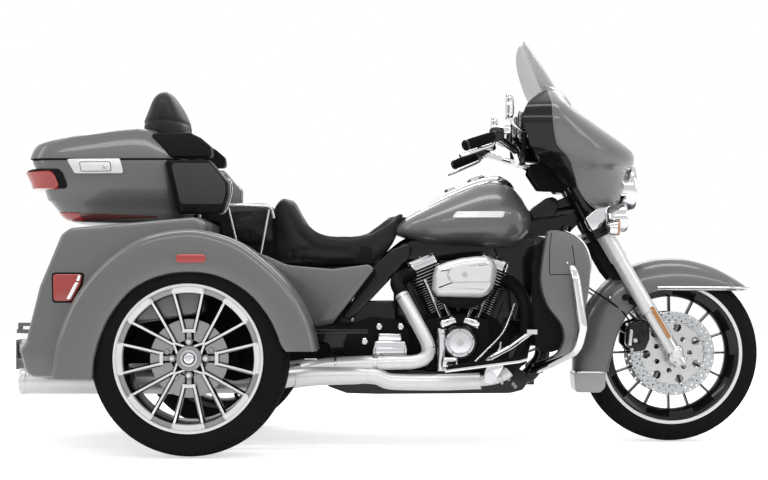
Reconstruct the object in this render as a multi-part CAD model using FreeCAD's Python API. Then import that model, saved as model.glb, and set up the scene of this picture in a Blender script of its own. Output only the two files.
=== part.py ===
"""Full-dress motorized trike: V-twin, fork-mounted fairing, two driven rear wheels, trunk and top case.

Millimetres. +X forward, +Y to the rider's left, +Z up. Origin: on the ground, under the middle of the trike.
"""

import FreeCAD
import Part
import math
import os

V = FreeCAD.Vector
os.makedirs("parts", exist_ok=True)

# ---------------------------------------------------------------- driving sizes
WHEELBASE = 1670.0
REAR_AXLE_X = -654.0
FRONT_AXLE_X = REAR_AXLE_X + WHEELBASE
FRONT_TYRE_R = 319.0
FRONT_TYRE_W = 130.0
FRONT_SIDEWALL = 78.0
FRONT_SEAT_R = FRONT_TYRE_R - FRONT_SIDEWALL
REAR_TYRE_R = 325.0
REAR_TYRE_W = 215.0
REAR_SIDEWALL = 97.0
REAR_SEAT_R = REAR_TYRE_R - REAR_SIDEWALL
TRUNK_HALF = 426.0
WELL_GAP = 14.5
REAR_WHEEL_Y = TRUNK_HALF + WELL_GAP + REAR_TYRE_W / 2
RUN = 0.05
SEAT_GAP = 0.3
MOVE_GAP = 6.0

RAKE = 26.0
TRAIL = 100.0
FORK_ANGLE = 30.5
FORK_Y = 128.0
FORK_R = 30.0
FORK_TOP_Z = 985.0
HEAD_R = 34.0
STEM_R = 14.0
LOWER_YOKE_Z = 752.0
UPPER_YOKE_Z = 962.0

FRONT_HUB_W = 58.0
FRONT_BORE_R = 12.5
DISC_R = 150.0
DISC_Y = 80.0
DISC_T = 5.0
REAR_BORE_R = 20.0
REAR_DISC_R = 128.0

CRANK_X = 250.0
CRANK_Z = 330.0
V_HALF = 22.5
BARREL_R = 58.0
FIN_R = 72.0
BARREL_FROM = 128.0
HEAD_FROM = 262.0
HEAD_TOP = 322.0
ROCKER_TOP = 364.0

TUNNEL_HALF = 50.0
FENDER_GAP = 27.0
FENDER_R = FRONT_TYRE_R + FENDER_GAP
FENDER_HALF = FRONT_TYRE_W / 2 + 23.0
FENDER_WALL = 4.0
FENDER_CROWN = 34.0

FLARE_GAP = 87.0
FLARE_R = REAR_TYRE_R + FLARE_GAP
FLARE_LIP_GAP = 30.5
FLARE_OUT = REAR_WHEEL_Y + REAR_TYRE_W / 2 + FLARE_LIP_GAP
CORNER_OUT = FLARE_OUT - 86.0
FLARE_WALL = 6.0
FLARE_CROWN = 62.0
ARCH_R = REAR_TYRE_R - 45.0
ARCH_HALF = ARCH_R + 22.0
FLARE_IN = TRUNK_HALF + SEAT_GAP
TRUNK_WALL = 6.0
TRUNK_BULGE = 78.0
DOOR_HALF = TRUNK_HALF - 91.0
DOOR_LOW_Z = 420.0
DOOR_TOP_Z = 728.0
DOOR_GAP = 5.0
TRUNK_FOOT_X = -1212.0
FASCIA_BOW = TRUNK_BULGE + 28.0
FASCIA_EDGE_X = TRUNK_FOOT_X + 12.0
PLATE_STAND_OFF = 29.0
PLATE_X = FASCIA_EDGE_X - FASCIA_BOW - PLATE_STAND_OFF
PLATE_HOLE_R = 3.5
DOOR_T = 24.0
DOOR_HINGE_X = -1296.0
DOOR_HINGE_Z = 404.0
DOOR_HINGE_YS = (-200.0, 200.0)

CASE_SEAM_Z = 1000.0
CASE_HALF = 292.0
CASE_WALL = 5.0
CASE_FLOOR_Z = 806.0
CASE_SEAM = 5.0
LID_HINGE_Y = CASE_HALF + 9.0
LID_HINGE_XS = (-1080.0, -860.0)
LID_PIN_R = 3.5

RAIL_R = 7.0
RAIL_Y = 206.0
SIDE_COVER_OUT = 262.0
SIDE_COVER_IN = 196.0
MUFFLER_R = 44.0
MUFFLER_Y = 330.0
MUFFLER_Z = 234.0
PIPE_R = 21.0
GUARD_R = 16.0
BAR_R = 15.0
GRIP_R = 18.0


# ---------------------------------------------------------------- helpers
def fork_x(z):
    """X of the fork legs' axis at height z."""
    return FRONT_AXLE_X - (z - FRONT_TYRE_R) * math.tan(math.radians(FORK_ANGLE))


def steer_x(z):
    """X of the steering axis at height z."""
    return FRONT_AXLE_X + TRAIL - z * math.tan(math.radians(RAKE))


def prism(outline, y0, y1):
    """Solid with an (x, z) outline, from y0 to y1."""
    points = [V(x, y0, z) for x, z in outline]
    face = Part.Face(Part.makePolygon(points + points[:1]))
    return face.extrude(V(0, y1 - y0, 0))


def box(x0, x1, y0, y1, z0, z1):
    return Part.makeBox(x1 - x0, y1 - y0, z1 - z0, V(x0, y0, z0))


def rod(a, b, r):
    """Cylinder of radius r from point a to point b."""
    a, b = V(*a), V(*b)
    return Part.makeCylinder(r, (b - a).Length, a, b - a)


def cone(a, b, ra, rb):
    a, b = V(*a), V(*b)
    return Part.makeCone(ra, rb, (b - a).Length, a, b - a)


def tube(points, r, bend):
    """Round bar along straight runs joined by tangent arcs of radius bend, or less where a run is short."""
    p = [V(*q) for q in points]
    edges, at = [], p[0]
    for a, b, c in zip(p, p[1:], p[2:]):
        u, w = (b - a).normalize(), (c - b).normalize()
        half = u.getAngle(w) / 2
        reach = min(bend * math.tan(half), 0.45 * (b - a).Length, 0.45 * (c - b).Length)
        start, end = b - u * reach, b + w * reach
        inward = (w - u).normalize()
        radius = reach / math.tan(half)
        middle = b + inward * (radius / math.cos(half) - radius)
        edges += [Part.makeLine(at, start), Part.Arc(start, middle, end).toShape()]
        at = end
    edges.append(Part.makeLine(at, p[-1]))
    ring = Part.Wire(Part.makeCircle(r, p[0], p[1] - p[0]))
    return Part.Wire(edges).makePipeShell([ring], True, False)


def mirrored(shape):
    return shape.mirror(V(0, 0, 0), V(0, 1, 0))


def pair(shape):
    """A right-hand piece and its left-hand copy."""
    return Part.makeCompound([shape, mirrored(shape)])


def joined(shapes):
    shapes = list(shapes)
    return shapes[0].fuse(shapes[1:]).removeSplitter() if len(shapes) > 1 else shapes[0]


def loft(wires, ruled=True):
    return Part.makeLoft(wires, True, ruled)


def closed(points):
    return Part.makePolygon([V(*q) for q in points] + [V(*points[0])])


def spun(profile, x, z, degrees=360.0, start=0.0):
    """Closed (y, r) profile, r along +X tilted by start, turned about the Y line through (x, z)."""
    points = [V(x + r, y, z) for y, r in profile]
    face = Part.Face(Part.makePolygon(points + points[:1]))
    face.rotate(V(x, 0, z), V(0, -1, 0), start)
    return face.revolve(V(x, 0, z), V(0, -1, 0), degrees)


def crescent(z, x_front, x_edge, half, wall):
    """Plan outline of a bowed sheet at height z: an arc through x_front, and the same arc set in by wall."""
    outer = Part.Arc(V(x_edge, -half, z), V(x_front, 0, z), V(x_edge, half, z)).toShape()
    inner_arc = Part.Arc(V(x_edge, half - wall, z), V(x_front - wall, 0, z), V(x_edge, -half + wall, z))
    ends = [
        Part.makeLine(V(x_edge, half, z), V(x_edge, half - wall, z)),
        Part.makeLine(V(x_edge, -half + wall, z), V(x_edge, -half, z)),
    ]
    return Part.Wire([outer, ends[0], inner_arc.toShape(), ends[1]])


def rounded_plan(z, x0, x1, half0, half1, radius):
    """Plan outline at height z from x0 (half width half0) to x1 (half width half1) with rounded corners."""
    corners = [V(x0, -half0, z), V(x1, -half1, z), V(x1, half1, z), V(x0, half0, z)]
    edges, first, at = [], None, None
    for i, b in enumerate(corners):
        a, c = corners[i - 1], corners[(i + 1) % 4]
        u, w = (b - a).normalize(), (c - b).normalize()
        half = u.getAngle(w) / 2
        reach = radius * math.tan(half)
        start, end = b - u * reach, b + w * reach
        middle = b + (w - u).normalize() * (radius / math.cos(half) - radius)
        if at is not None:
            edges.append(Part.makeLine(at, start))
        else:
            first = start
        edges.append(Part.Arc(start, middle, end).toShape())
        at = end
    edges.append(Part.makeLine(at, first))
    return Part.Wire(edges)


def biggest(shape):
    return max(shape.Solids, key=lambda solid: solid.Volume)


def save(name, shape):
    """Writes one node, after checking that each of its solids is sound."""
    solids = shape.Solids
    sound = solids and all(s.isValid() and s.Volume > 1.0 for s in solids)
    litres = sum(solid.Volume for solid in solids) / 1e6
    print(f"{name}: {len(solids)} solids, {litres:.3f} l{'' if sound else '  NOT SOUND'}")
    Part.makeCompound(solids).exportStep(f"parts/{name}.step")


# ---------------------------------------------------------------- wheels
def tyre_profile(width, r_out, r_seat, crown):
    """(y, r) half-round section: beads, bulged side walls, and a tread that drops by crown at its edges."""
    mid = (r_out + r_seat) / 2
    half = [
        (0.38, r_seat),
        (0.47, r_seat + 0.22 * (r_out - r_seat)),
        (0.50, mid),
        (0.48, r_out - 1.6 * crown),
        (0.40, r_out - 0.75 * crown),
        (0.20, r_out - 0.18 * crown),
    ]
    right = [(-k * width, r) for k, r in half]
    left = [(k * width, r) for k, r in reversed(half)]
    return right + [(0.0, r_out)] + left


def spoked_wheel(x, z, y_mid, seat_r, half_width, face_y, hub_y, hub_r, bore_r, hub_from, hub_to, spoke_w):
    """Barrel with two lips, sixteen bars in eight pairs, and a bored hub. face_y and hub_y place the bars."""
    lip, skin = 6.0, 6.0
    barrel = [
        (y_mid - half_width, seat_r + lip),
        (y_mid - half_width, seat_r - skin),
        (y_mid + half_width, seat_r - skin),
        (y_mid + half_width, seat_r + lip),
        (y_mid + half_width - skin, seat_r + lip),
        (y_mid + half_width - skin, seat_r - SEAT_GAP),
        (y_mid - half_width + skin, seat_r - SEAT_GAP),
        (y_mid - half_width + skin, seat_r + lip),
    ]
    shapes = [spun(barrel, x, z)]
    deep = 16.0
    for i in range(16):
        spread = 1.5 if i % 2 else -1.5
        angle = math.radians(11.25 + 22.5 * i + spread)
        bar = loft(
            [
                closed(
                    [
                        (x + r, y - deep / 2, z - w),
                        (x + r, y + deep / 2, z - w),
                        (x + r, y + deep / 2, z + w),
                        (x + r, y - deep / 2, z + w),
                    ]
                )
                for r, y, w in (
                    (hub_r * 0.6, hub_y, spoke_w * 0.75),
                    (seat_r - skin / 2, face_y, spoke_w * 0.5),
                )
            ]
        )
        bar.rotate(V(x, 0, z), V(0, 1, 0), math.degrees(angle))
        shapes.append(bar)
    shapes.append(rod((x, hub_from, z), (x, hub_to, z), hub_r))
    wheel = joined(shapes)
    return wheel.cut(rod((x, hub_from - 1, z), (x, hub_to + 1, z), bore_r + RUN))


def front_wheel():
    x, z = FRONT_AXLE_X, FRONT_TYRE_R
    tread = tyre_profile(FRONT_TYRE_W, FRONT_TYRE_R, FRONT_SEAT_R, 26.0)
    save("front_tyre", spun(tread, x, z))
    half = FRONT_TYRE_W / 2 - 5
    wheel = spoked_wheel(x, z, 0, FRONT_SEAT_R, half, 0, 0, 34, FRONT_BORE_R, -FRONT_HUB_W, FRONT_HUB_W, 10)
    save("front_rim", wheel)
    disc = rod((x, -DISC_Y - DISC_T, z), (x, -DISC_Y, z), DISC_R).cut(
        rod((x, -DISC_Y - DISC_T, z), (x, -DISC_Y, z), 104)
    )
    carrier = rod((x, -DISC_Y, z), (x, -DISC_Y + 8, z), 112).cut(
        rod((x, -DISC_Y, z), (x, -DISC_Y + 8, z), 40)
    )
    for i in range(6):
        angle = math.radians(60 * i + 20)
        at_x, at_z = x + 78 * math.cos(angle), z + 78 * math.sin(angle)
        carrier = carrier.cut(rod((at_x, -DISC_Y - 1, at_z), (at_x, -DISC_Y + 9, at_z), 19))
    boss = rod((x, -DISC_Y, z), (x, -FRONT_HUB_W, z), 46).cut(
        rod((x, -DISC_Y, z), (x, -FRONT_HUB_W, z), FRONT_BORE_R + RUN)
    )
    save("front_discs", pair(joined([disc, carrier, boss])))


def rear_wheel(name, side):
    x, z = REAR_AXLE_X, REAR_TYRE_R
    tread = [
        (side * (y + REAR_WHEEL_Y), r)
        for y, r in tyre_profile(REAR_TYRE_W, REAR_TYRE_R, REAR_SEAT_R, 14.0)
    ]
    save(f"rear_tyre_{name}", spun(tread, x, z))
    mid, half = -REAR_WHEEL_Y, REAR_TYRE_W / 2 - 9.5
    face, hub = mid - half + 12, mid - half + 34
    hub_out, hub_in = face - 2, mid + 78
    wheel = spoked_wheel(x, z, mid, REAR_SEAT_R, half, face, hub, 42, REAR_BORE_R, hub_out, hub_in, 12)
    disc_y = hub_in - 30
    disc = rod((x, disc_y, z), (x, disc_y + 12, z), REAR_DISC_R)
    disc = disc.cut(rod((x, disc_y - 1, z), (x, disc_y + 13, z), REAR_BORE_R + RUN))
    wheel = joined([wheel, disc])
    save(f"rear_rim_{name}", wheel if side < 0 else mirrored(wheel))


# ---------------------------------------------------------------- frame, engine and drive line
def frame(trunk_outer):
    axis = V(-math.sin(math.radians(RAKE)), 0, math.cos(math.radians(RAKE)))
    low, high = LOWER_YOKE_Z + 30, UPPER_YOKE_Z - 30
    head = rod((steer_x(low), 0, low), (steer_x(high), 0, high), HEAD_R)
    bore = rod(
        (steer_x(low) - axis.x * 9, 0, low - axis.z * 9),
        (steer_x(high) + axis.x * 9, 0, high + axis.z * 9),
        STEM_R + RUN,
    )
    gusset = prism([(700, 800), (655, 890), (560, 850), (430, 790), (430, 745), (640, 740)], -16, 16)
    spine = tube([(690, 0, 842), (420, 0, 790), (60, 0, 712), (-60, 0, 612)], 22, 90)
    tank_mounts = [rod((x, -TUNNEL_HALF, z), (x, TUNNEL_HALF, z), 10) for x, z in ((150, 732), (330, 770))]
    neck = joined([head, gusset, spine] + tank_mounts).cut(bore)
    rail = tube(
        [
            (645, -34, 775), (566, -84, 560), (556, -104, 300), (500, -112, 224), (-190, -112, 224),
            (-232, -112, 300), (-176, -90, 540), (-50, -34, 618),
        ],
        17,
        70,
    )
    seat_rail = tube([(-50, -34, 632), (-420, -142, 632), (-610, -150, 706)], 14, 120)
    cross = rod((540, -104, 262), (540, 104, 262), 14)
    cross_back = rod((-212, -112, 262), (-212, 112, 262), 14)
    pan = prism([(-150, 207), (-176, 222), (-176, 240), (430, 240), (520, 230), (520, 207)], -88, 88)
    ribs = [rod((x, -112, 224), (x, 112, 224), 12) for x in (-120, 380)]
    seat_rail = biggest(seat_rail.cut(trunk_outer))
    chassis = joined(
        [neck, rail, mirrored(rail), seat_rail, mirrored(seat_rail), cross, cross_back, pan] + ribs
    )
    save("frame", chassis)
    return chassis


def engine():
    case = prism(
        [
            (86, 250), (60, 300), (66, 410), (120, 452), (180, 470), (320, 470), (390, 440), (428, 380),
            (430, 300), (400, 250),
        ], -92, 92
    )
    timing_side = prism([(130, 262), (130, 440), (250, 462), (350, 440), (360, 262)], -168, -92)
    gearbox = prism(
        [(-156, 268), (-162, 360), (-130, 430), (-60, 452), (40, 440), (70, 400), (70, 268)],
        -150,
        110,
    )
    case = joined([case, timing_side, gearbox])
    save("engine_case", case)
    barrels, rockers, rods = [], [], []
    for lean in (-V_HALF, V_HALF):
        s, c = math.sin(math.radians(lean)), math.cos(math.radians(lean))

        def up(r, y=0.0):
            return (CRANK_X + r * s, y, CRANK_Z + r * c)

        barrel = [rod(up(BARREL_FROM + 30), up(HEAD_FROM), BARREL_R)]
        count = 11
        pitch = (HEAD_FROM - BARREL_FROM - 34) / count
        for i in range(count):
            r = BARREL_FROM + 36 + i * pitch
            barrel.append(rod(up(r), up(r + 4), FIN_R))
        barrel.append(block(up(HEAD_FROM), lean, 132, 150, HEAD_TOP - HEAD_FROM, 18))
        barrels.append(joined(barrel))
        rockers.append(block(up(HEAD_TOP + SEAT_GAP), lean, 118, 140, ROCKER_TOP - HEAD_TOP - SEAT_GAP, 22))
        for shift in (-17, 17):
            foot, top = 110.0, HEAD_FROM + 10
            a, b = up(foot, -126), up(top, -66)
            rods.append(rod((a[0] + shift, a[1], a[2]), (b[0] + shift, b[1], b[2]), 8))
    barrels = Part.makeCompound([barrel.cut(case) for barrel in barrels])
    save("cylinders", barrels)
    save("rocker_covers", Part.makeCompound(rockers))
    blockers = case.fuse(barrels)
    save("pushrod_tubes", Part.makeCompound([biggest(r.cut(blockers)) for r in rods]))
    return case, Part.makeCompound([barrels] + rockers)


def block(at, lean, length, width, height, corner):
    """Rounded block standing on the point at, its up direction leaning forward by lean degrees."""
    body = Part.makeBox(length, width, height, V(-length / 2, -width / 2, 0))
    upright = [e for e in body.Edges if abs(e.Vertexes[0].Z - e.Vertexes[1].Z) > 1]
    body = body.makeFillet(corner, upright)
    top = [e for e in body.Edges if min(v.Z for v in e.Vertexes) > height - 0.01]
    body = body.makeChamfer(min(8.0, height / 3), top)
    body.rotate(V(0, 0, 0), V(0, 1, 0), lean)
    body.translate(V(*at))
    return body


def engine_covers(case, barrels):
    cover = prism(
        [
            (164, 631), (248, 658), (340, 664), (367, 639), (375, 623), (363, 559), (343, 531), (319, 519),
            (168, 525), (148, 551), (152, 591),
        ],
        -286,
        -232,
    )
    rim = [e for e in cover.Edges if all(abs(v.Y + 286) < 0.1 for v in e.Vertexes)]
    cover = cover.makeChamfer(10, rim)
    base = prism(
        [(172, 604), (330, 632), (352, 600), (352, 532), (318, 492), (270, 484), (214, 486), (168, 515)],
        -232,
        -196,
    )
    neck = rod((250, -196, 560), (250, 0, 560), 28)
    manifold = rod((180, 0, 560), (320, 0, 560), 24)
    save("air_cleaner", biggest(joined([cover, base, neck, manifold]).cut(barrels)))
    cam = cone((256, -168 - SEAT_GAP, 358), (256, -205, 358), 62, 58)
    cap = rod((256, -205, 358), (256, -217, 358), 48)
    cam = joined([cam, cap])
    lid = prism(
        [(-70, 272), (-72, 330), (-56, 352), (-48, 374), (26, 374), (34, 352), (50, 330), (48, 272)],
        -196,
        -150 - SEAT_GAP,
    )
    rim = [e for e in lid.Edges if all(abs(v.Y + 196) < 0.1 for v in e.Vertexes)]
    lid = lid.makeChamfer(6, rim)
    primary = prism(
        [
            (-128, 262), (-170, 330), (-128, 398), (-60, 420), (180, 440), (300, 420), (360, 350),
            (330, 270), (280, 244), (-60, 244),
        ],
        110 + SEAT_GAP,
        186,
    )
    rim = [e for e in primary.Edges if all(abs(v.Y - 186) < 0.1 for v in e.Vertexes)]
    primary = primary.makeChamfer(12, rim)
    save("engine_covers", Part.makeCompound([cam, lid, primary]))
    return joined([case, primary])


def exhaust(chassis, barrels):
    front = tube(
        [
            (390, -40, 590), (452, -78, 560), (492, -150, 470), (470, -222, 300), (380, -236, 226),
            (-20, -244, 226), (-140, -262, 240), (-235, -292, 246),
        ],
        PIPE_R + 2,
        60,
    )
    rear = tube(
        [
            (100, -40, 600), (40, -104, 590), (-18, -196, 556), (76, -238, 360), (50, -238, 300),
            (-60, -250, 300), (-235, -288, 262),
        ],
        PIPE_R,
        50,
    )
    right = tube(
        [
            (-215, -292, 250),
            (-300, -310, 250),
            (-420, -MUFFLER_Y, MUFFLER_Z),
            (-1258, -MUFFLER_Y, MUFFLER_Z),
        ],
        MUFFLER_R,
        200,
    )
    hollow = rod((-1259, -MUFFLER_Y, MUFFLER_Z), (-1180, -MUFFLER_Y, MUFFLER_Z), MUFFLER_R - 4)
    right = right.cut(hollow)
    left = mirrored(right)
    link = tube([(-330, -270, 246), (-350, -200, 236), (-350, 200, 236), (-330, 270, 246)], 24, 60)
    hanger = rod((-350, -100, 236), (-212, -100, 262), 8)
    mufflers = joined([right, left, link, hanger, mirrored(hanger)])
    mufflers = biggest(mufflers.cut(chassis))
    save("mufflers", mufflers)
    blockers = mufflers.fuse(barrels)
    save("exhaust_pipes", Part.makeCompound([biggest(pipe.cut(blockers)) for pipe in (front, rear)]))


def axle(chassis):
    x, z = REAR_AXLE_X, REAR_TYRE_R
    end, caliper_y = TRUNK_HALF - 1, REAR_WHEEL_Y - 103
    parts = [rod((x, -end - 7, z), (x, end + 7, z), 38)]
    parts.append(rod((x, -95, z), (x, 95, z), 98))
    for side in (-1, 1):
        parts.append(rod((x, side * end, z), (x, side * (REAR_WHEEL_Y + 81), z), REAR_BORE_R))
        parts.append(rod((x, side * end, z), (x, side * (end + 37), z), 60))
        arm = loft(
            [
                closed(
                    [
                        (ax, side * ay - 20, az - 26),
                        (ax, side * ay + 20, az - 26),
                        (ax, side * ay + 20, az + 26),
                        (ax, side * ay - 20, az + 26),
                    ]
                )
                for ax, ay, az in ((x, 190, z), (-250, 150, 330))
            ]
        )
        parts.append(arm)
        near, far = sorted((side * caliper_y, side * (caliper_y + 37)))
        parts.append(box(x + 50, x + 150, near, far, z - 50, z + 30))
        parts.append(rod((-520, side * 170, z + 10), (-500, side * 146, 680), 26))
    parts.append(rod((-240, -170, 330), (-240, 170, 330), 24))
    save("rear_axle", biggest(joined(parts).cut(chassis)))


# ---------------------------------------------------------------- tank, seat and rails
# columns: x, half width, bottom z, shoulder z, top z
TANK_STATIONS = [
    (18, 66, 741, 752, 762),
    (60, 96, 731, 762, 800),
    (155, 138, 715, 775, 856),
    (311, 166, 702, 790, 924),
    (389, 168, 700, 795, 936),
    (441, 160, 699, 795, 922),
    (485, 138, 722, 800, 872),
    (511, 92, 770, 806, 832),
]


def tank_section(x, half, z0, zs, z1):
    rise = z1 - zs
    drop = zs - z0
    right = [
        (0.55 * half, z0),
        (0.86 * half, z0 + 0.22 * drop),
        (half, zs),
        (0.94 * half, zs + 0.42 * rise),
        (0.72 * half, zs + 0.8 * rise),
        (0.36 * half, z1),
    ]
    ring = [(x, -y, z) for y, z in right] + [(x, y, z) for y, z in reversed(right)]
    return closed(ring)


def tank():
    body = loft([tank_section(*row) for row in TANK_STATIONS])
    tunnel = prism([(0, 640), (0, 742), (420, 824), (530, 850), (530, 640)], -TUNNEL_HALF, TUNNEL_HALF)
    save("fuel_tank", body.cut(tunnel))
    # columns: x, tank top z, console top z, half width
    rows = [
        (62, 801, 814, 26), (155, 856, 874, 34), (298, 918, 948, 42), (350, 930, 962, 44),
        (400, 934, 968, 42), (446, 921, 942, 28),
    ]
    console = loft(
        [
            closed(
                [
                    (x, -w, z0 - 30), (x, w, z0 - 30), (x, w, z1 - 8), (x, 0.6 * w, z1), (x, -0.6 * w, z1),
                    (x, -w, z1 - 8),
                ]
            )
            for x, z0, z1, w in rows
        ]
    )
    save("tank_console", console.cut(body))


def cushion_section(x, half, z0, side_z, mid_z):
    """Seat section: flat base, upright sides, rounded shoulders, and a top that may be dished."""
    drop = min(26.0, 0.4 * (side_z - z0))
    right = [
        (0.9 * half, z0), (half, z0 + 0.3 * (side_z - z0)), (0.98 * half, side_z - drop),
        (0.86 * half, side_z), (0.5 * half, mid_z),
    ]
    return closed([(x, -y, z) for y, z in right] + [(x, y, z) for y, z in reversed(right)])


# columns: x, half width, base z, shoulder z, middle z
RIDER_SEAT_STATIONS = [
    (-401.7, 168, 705, 836, 842),
    (-369, 184, 660, 868, 878),
    (-342, 190, 646.3, 858, 864),
    (-318, 192, 646.3, 812, 806),
    (-275, 192, 646.3, 768, 752),
    (-233, 188, 646.3, 748, 730),
    (-165, 176, 646.3, 742, 724),
    (-81, 140, 646.3, 757, 748),
    (-18, 100, 690, 790, 797),
    (16, 82, 764, 808, 824),
]
PASSENGER_SEAT_STATIONS = [
    (-700, 150, 787.6, 828, 838),
    (-680, 172, 789.4, 842, 851),
    (-640, 178, 792.8, 842, 850),
    (-600, 178, 792.8, 842, 850),
    (-440, 176, 722, 842, 850),
    (-402, 168, 712, 832, 842),
]


def seats(trunk_outer):
    save("rider_seat", loft([cushion_section(*row) for row in RIDER_SEAT_STATIONS]))
    save("passenger_seat", loft([cushion_section(*row) for row in PASSENGER_SEAT_STATIONS]))
    rail = tube(
        [
            (-668, -RAIL_Y + 18, 790),
            (-664, -RAIL_Y + 6, 838),
            (-520, -RAIL_Y, 844),
            (-414, -RAIL_Y + 6, 840),
            (-406, -RAIL_Y + 12, 800),
        ],
        RAIL_R,
        30,
    )
    straps = [
        rod(a, b, 5)
        for a, b in (
            ((-566, -RAIL_Y + 2, 843), (-530, -RAIL_Y + 16, 684)),
            ((-420, -RAIL_Y + 6, 840), (-452, -RAIL_Y + 16, 674)),
        )
    ]
    save("grab_rails", pair(biggest(joined([rail] + straps).cut(trunk_outer))))


# ---------------------------------------------------------------- rear body
TRUNK_FRONT_X = -600.0
TRUNK_FOOT_Z = 372.0
TRUNK_STEP_Z = 470.0
# columns: z, x of the back at the flanks, bow of the back in the middle
TRUNK_BACK = [
    (TRUNK_FOOT_Z, TRUNK_FOOT_X, TRUNK_BULGE),
    (440, -1196, TRUNK_BULGE),
    (590, -1140, TRUNK_BULGE),
    (738, -1072, TRUNK_BULGE),
    (757, -1040, TRUNK_BULGE - 26),
    (800, -1040, TRUNK_BULGE - 26),
]
TRUNK_HOLLOW_BACK = [
    (TRUNK_FOOT_Z + TRUNK_WALL, -1190 + DOOR_T, TRUNK_BULGE),
    (590, -1132 + DOOR_T, TRUNK_BULGE),
    (734 - TRUNK_WALL, -1064 + DOOR_T, TRUNK_BULGE - 26),
    (757 - TRUNK_WALL, -1036, TRUNK_BULGE - 31),
    (800, -1036, TRUNK_BULGE - 31),
]
# (x, z) of the roof line, front first, and of the step under the seats
TRUNK_ROOF = [(-560, 748), (TRUNK_FRONT_X, 770), (-640, 792), (-1040, 757), (-1300, 734)]
TRUNK_STEP = [(-840, TRUNK_STEP_Z), (-860, TRUNK_FOOT_Z)]


def bowed_plan(z, back, bow, half, front):
    """Plan outline at height z: an arc across the back, straight flanks and a straight front."""
    across = Part.Arc(V(back, -half, z), V(back - bow, 0, z), V(back, half, z)).toShape()
    corners = [V(back, half, z), V(front, half, z), V(front, -half, z), V(back, -half, z)]
    sides = [Part.makeLine(a, b) for a, b in zip(corners, corners[1:])]
    return Part.Wire([across] + sides)


def fascia_section(x, y):
    """Outline of the fascia under the trunk at one Y, its back edge at x."""
    top = TRUNK_FOOT_Z - SEAT_GAP
    ring = [(x + 60, 290), (x + 6, 290), (x - 16, 330), (x - 16, 356), (x, top), (x + 60, top)]
    return closed([(a, y, b) for a, b in ring])


def trunk_body(rows, wall):
    """Trunk body set in by wall: plan outlines lofted upwards, less its roof slope and the step under it."""
    half = TRUNK_HALF - wall
    body = loft([bowed_plan(z, back, bow, half, TRUNK_FRONT_X - wall) for z, back, bow in rows])
    shift = wall and wall + 1
    roof = [(x - shift / 6, z - wall) for x, z in TRUNK_ROOF] + [(-1300, 900), (-560, 900)]
    step = [(x + wall, z + wall) for x, z in TRUNK_STEP]
    step += [(step[-1][0], 300), (-560, 300), (-560, step[0][1])]
    return body.cut([prism(roof, -half - 1, half + 1), prism(step, -half - 1, half + 1)])


def trunk():
    outer = trunk_body(TRUNK_BACK, 0.0)
    cavity = trunk_body(TRUNK_HOLLOW_BACK, TRUNK_WALL)
    shell = outer.cut(cavity)
    doorway = box(
        -1400, -1030, -DOOR_HALF - DOOR_GAP, DOOR_HALF + DOOR_GAP, DOOR_LOW_Z - DOOR_GAP,
        DOOR_TOP_Z + DOOR_GAP,
    )
    door_block = box(-1400, -1030, -DOOR_HALF, DOOR_HALF, DOOR_LOW_Z, DOOR_TOP_Z)
    door = biggest(shell.common(door_block))
    body = biggest(shell.cut(doorway))
    knuckles, leaves = [], []
    for y in DOOR_HINGE_YS:
        pin = (DOOR_HINGE_X, y, DOOR_HINGE_Z)
        eye = rod((pin[0], y - 14, pin[2]), (pin[0], y + 14, pin[2]), 8)
        leaf = box(pin[0], -1190, y - 14, y + 14, pin[2] + 16, pin[2] + 28)
        arm = prism(
            [
                (pin[0] - 5, pin[2] + 5),
                (pin[0] - 5, pin[2] + 28),
                (pin[0] + 8, pin[2] + 28),
                (pin[0] + 6, pin[2] + 4),
            ],
            y - 14,
            y + 14,
        )
        bore = rod((pin[0], y - 40, pin[2]), (pin[0], y + 40, pin[2]), 4 + RUN)
        leaves.append(joined([eye, arm, leaf]).cut(bore))
        knuckles.append(rod((pin[0], y - 26, pin[2]), (pin[0], y + 26, pin[2]), 4))
        for side in (-1, 1):
            ear = prism(
                [
                    (pin[0] - 7, pin[2] - 8),
                    (pin[0] - 7, pin[2] + 5),
                    (-1190, pin[2] + 1),
                    (-1190, pin[2] - 12),
                ],
                y + side * 21 - 6,
                y + side * 21 + 6,
            )
            knuckles.append(ear)
    save("trunk_door", joined([door] + [leaf.cut(cavity) for leaf in leaves]))
    save("trunk_shell", joined([body] + [knuckle.cut(cavity) for knuckle in knuckles]))
    # columns: share of the half width, share of the bow
    rows = [(-1.0, 0.0), (-0.6, 0.64), (-0.25, 1.0), (0.25, 1.0), (0.6, 0.64), (1.0, 0.0)]
    fascia = loft([fascia_section(FASCIA_EDGE_X - bow * FASCIA_BOW, k * TRUNK_HALF) for k, bow in rows])
    plate = box(PLATE_X, PLATE_X + 4, -95, 95, 262, 368)
    lugs = box(PLATE_X + 4, PLATE_X + PLATE_STAND_OFF + 1, -60, 60, 300, 350)
    holes = [
        rod((PLATE_X - 1, y, z), (PLATE_X + 5, y, z), PLATE_HOLE_R)
        for y in (-73, 73)
        for z in (280, 350)
    ]
    save("rear_fascia", joined([fascia, plate, lugs]).cut(holes[0].fuse(holes[1:])))
    return outer


CORNER_OUTLINE = [
    (-700, 742), (-740, 762), (-1050, 748), (-1148, 546), (-1210, 366), (-1224, 351), (-1203, 275),
    (-1175, 264), (-900, 264), (-700, 500),
]


def flare_section(inset):
    """(y, r) outline of the wheel arch's tunnel: flat top, rounded shoulder, slightly leaning side."""
    out, top = FLARE_OUT - inset, FLARE_R - inset
    c = FLARE_CROWN
    arc = []
    for i in range(7):
        a = math.radians(15 * i)
        arc.append((-(out - c) - c * math.sin(a), top - c + c * math.cos(a)))
    return arc


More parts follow.
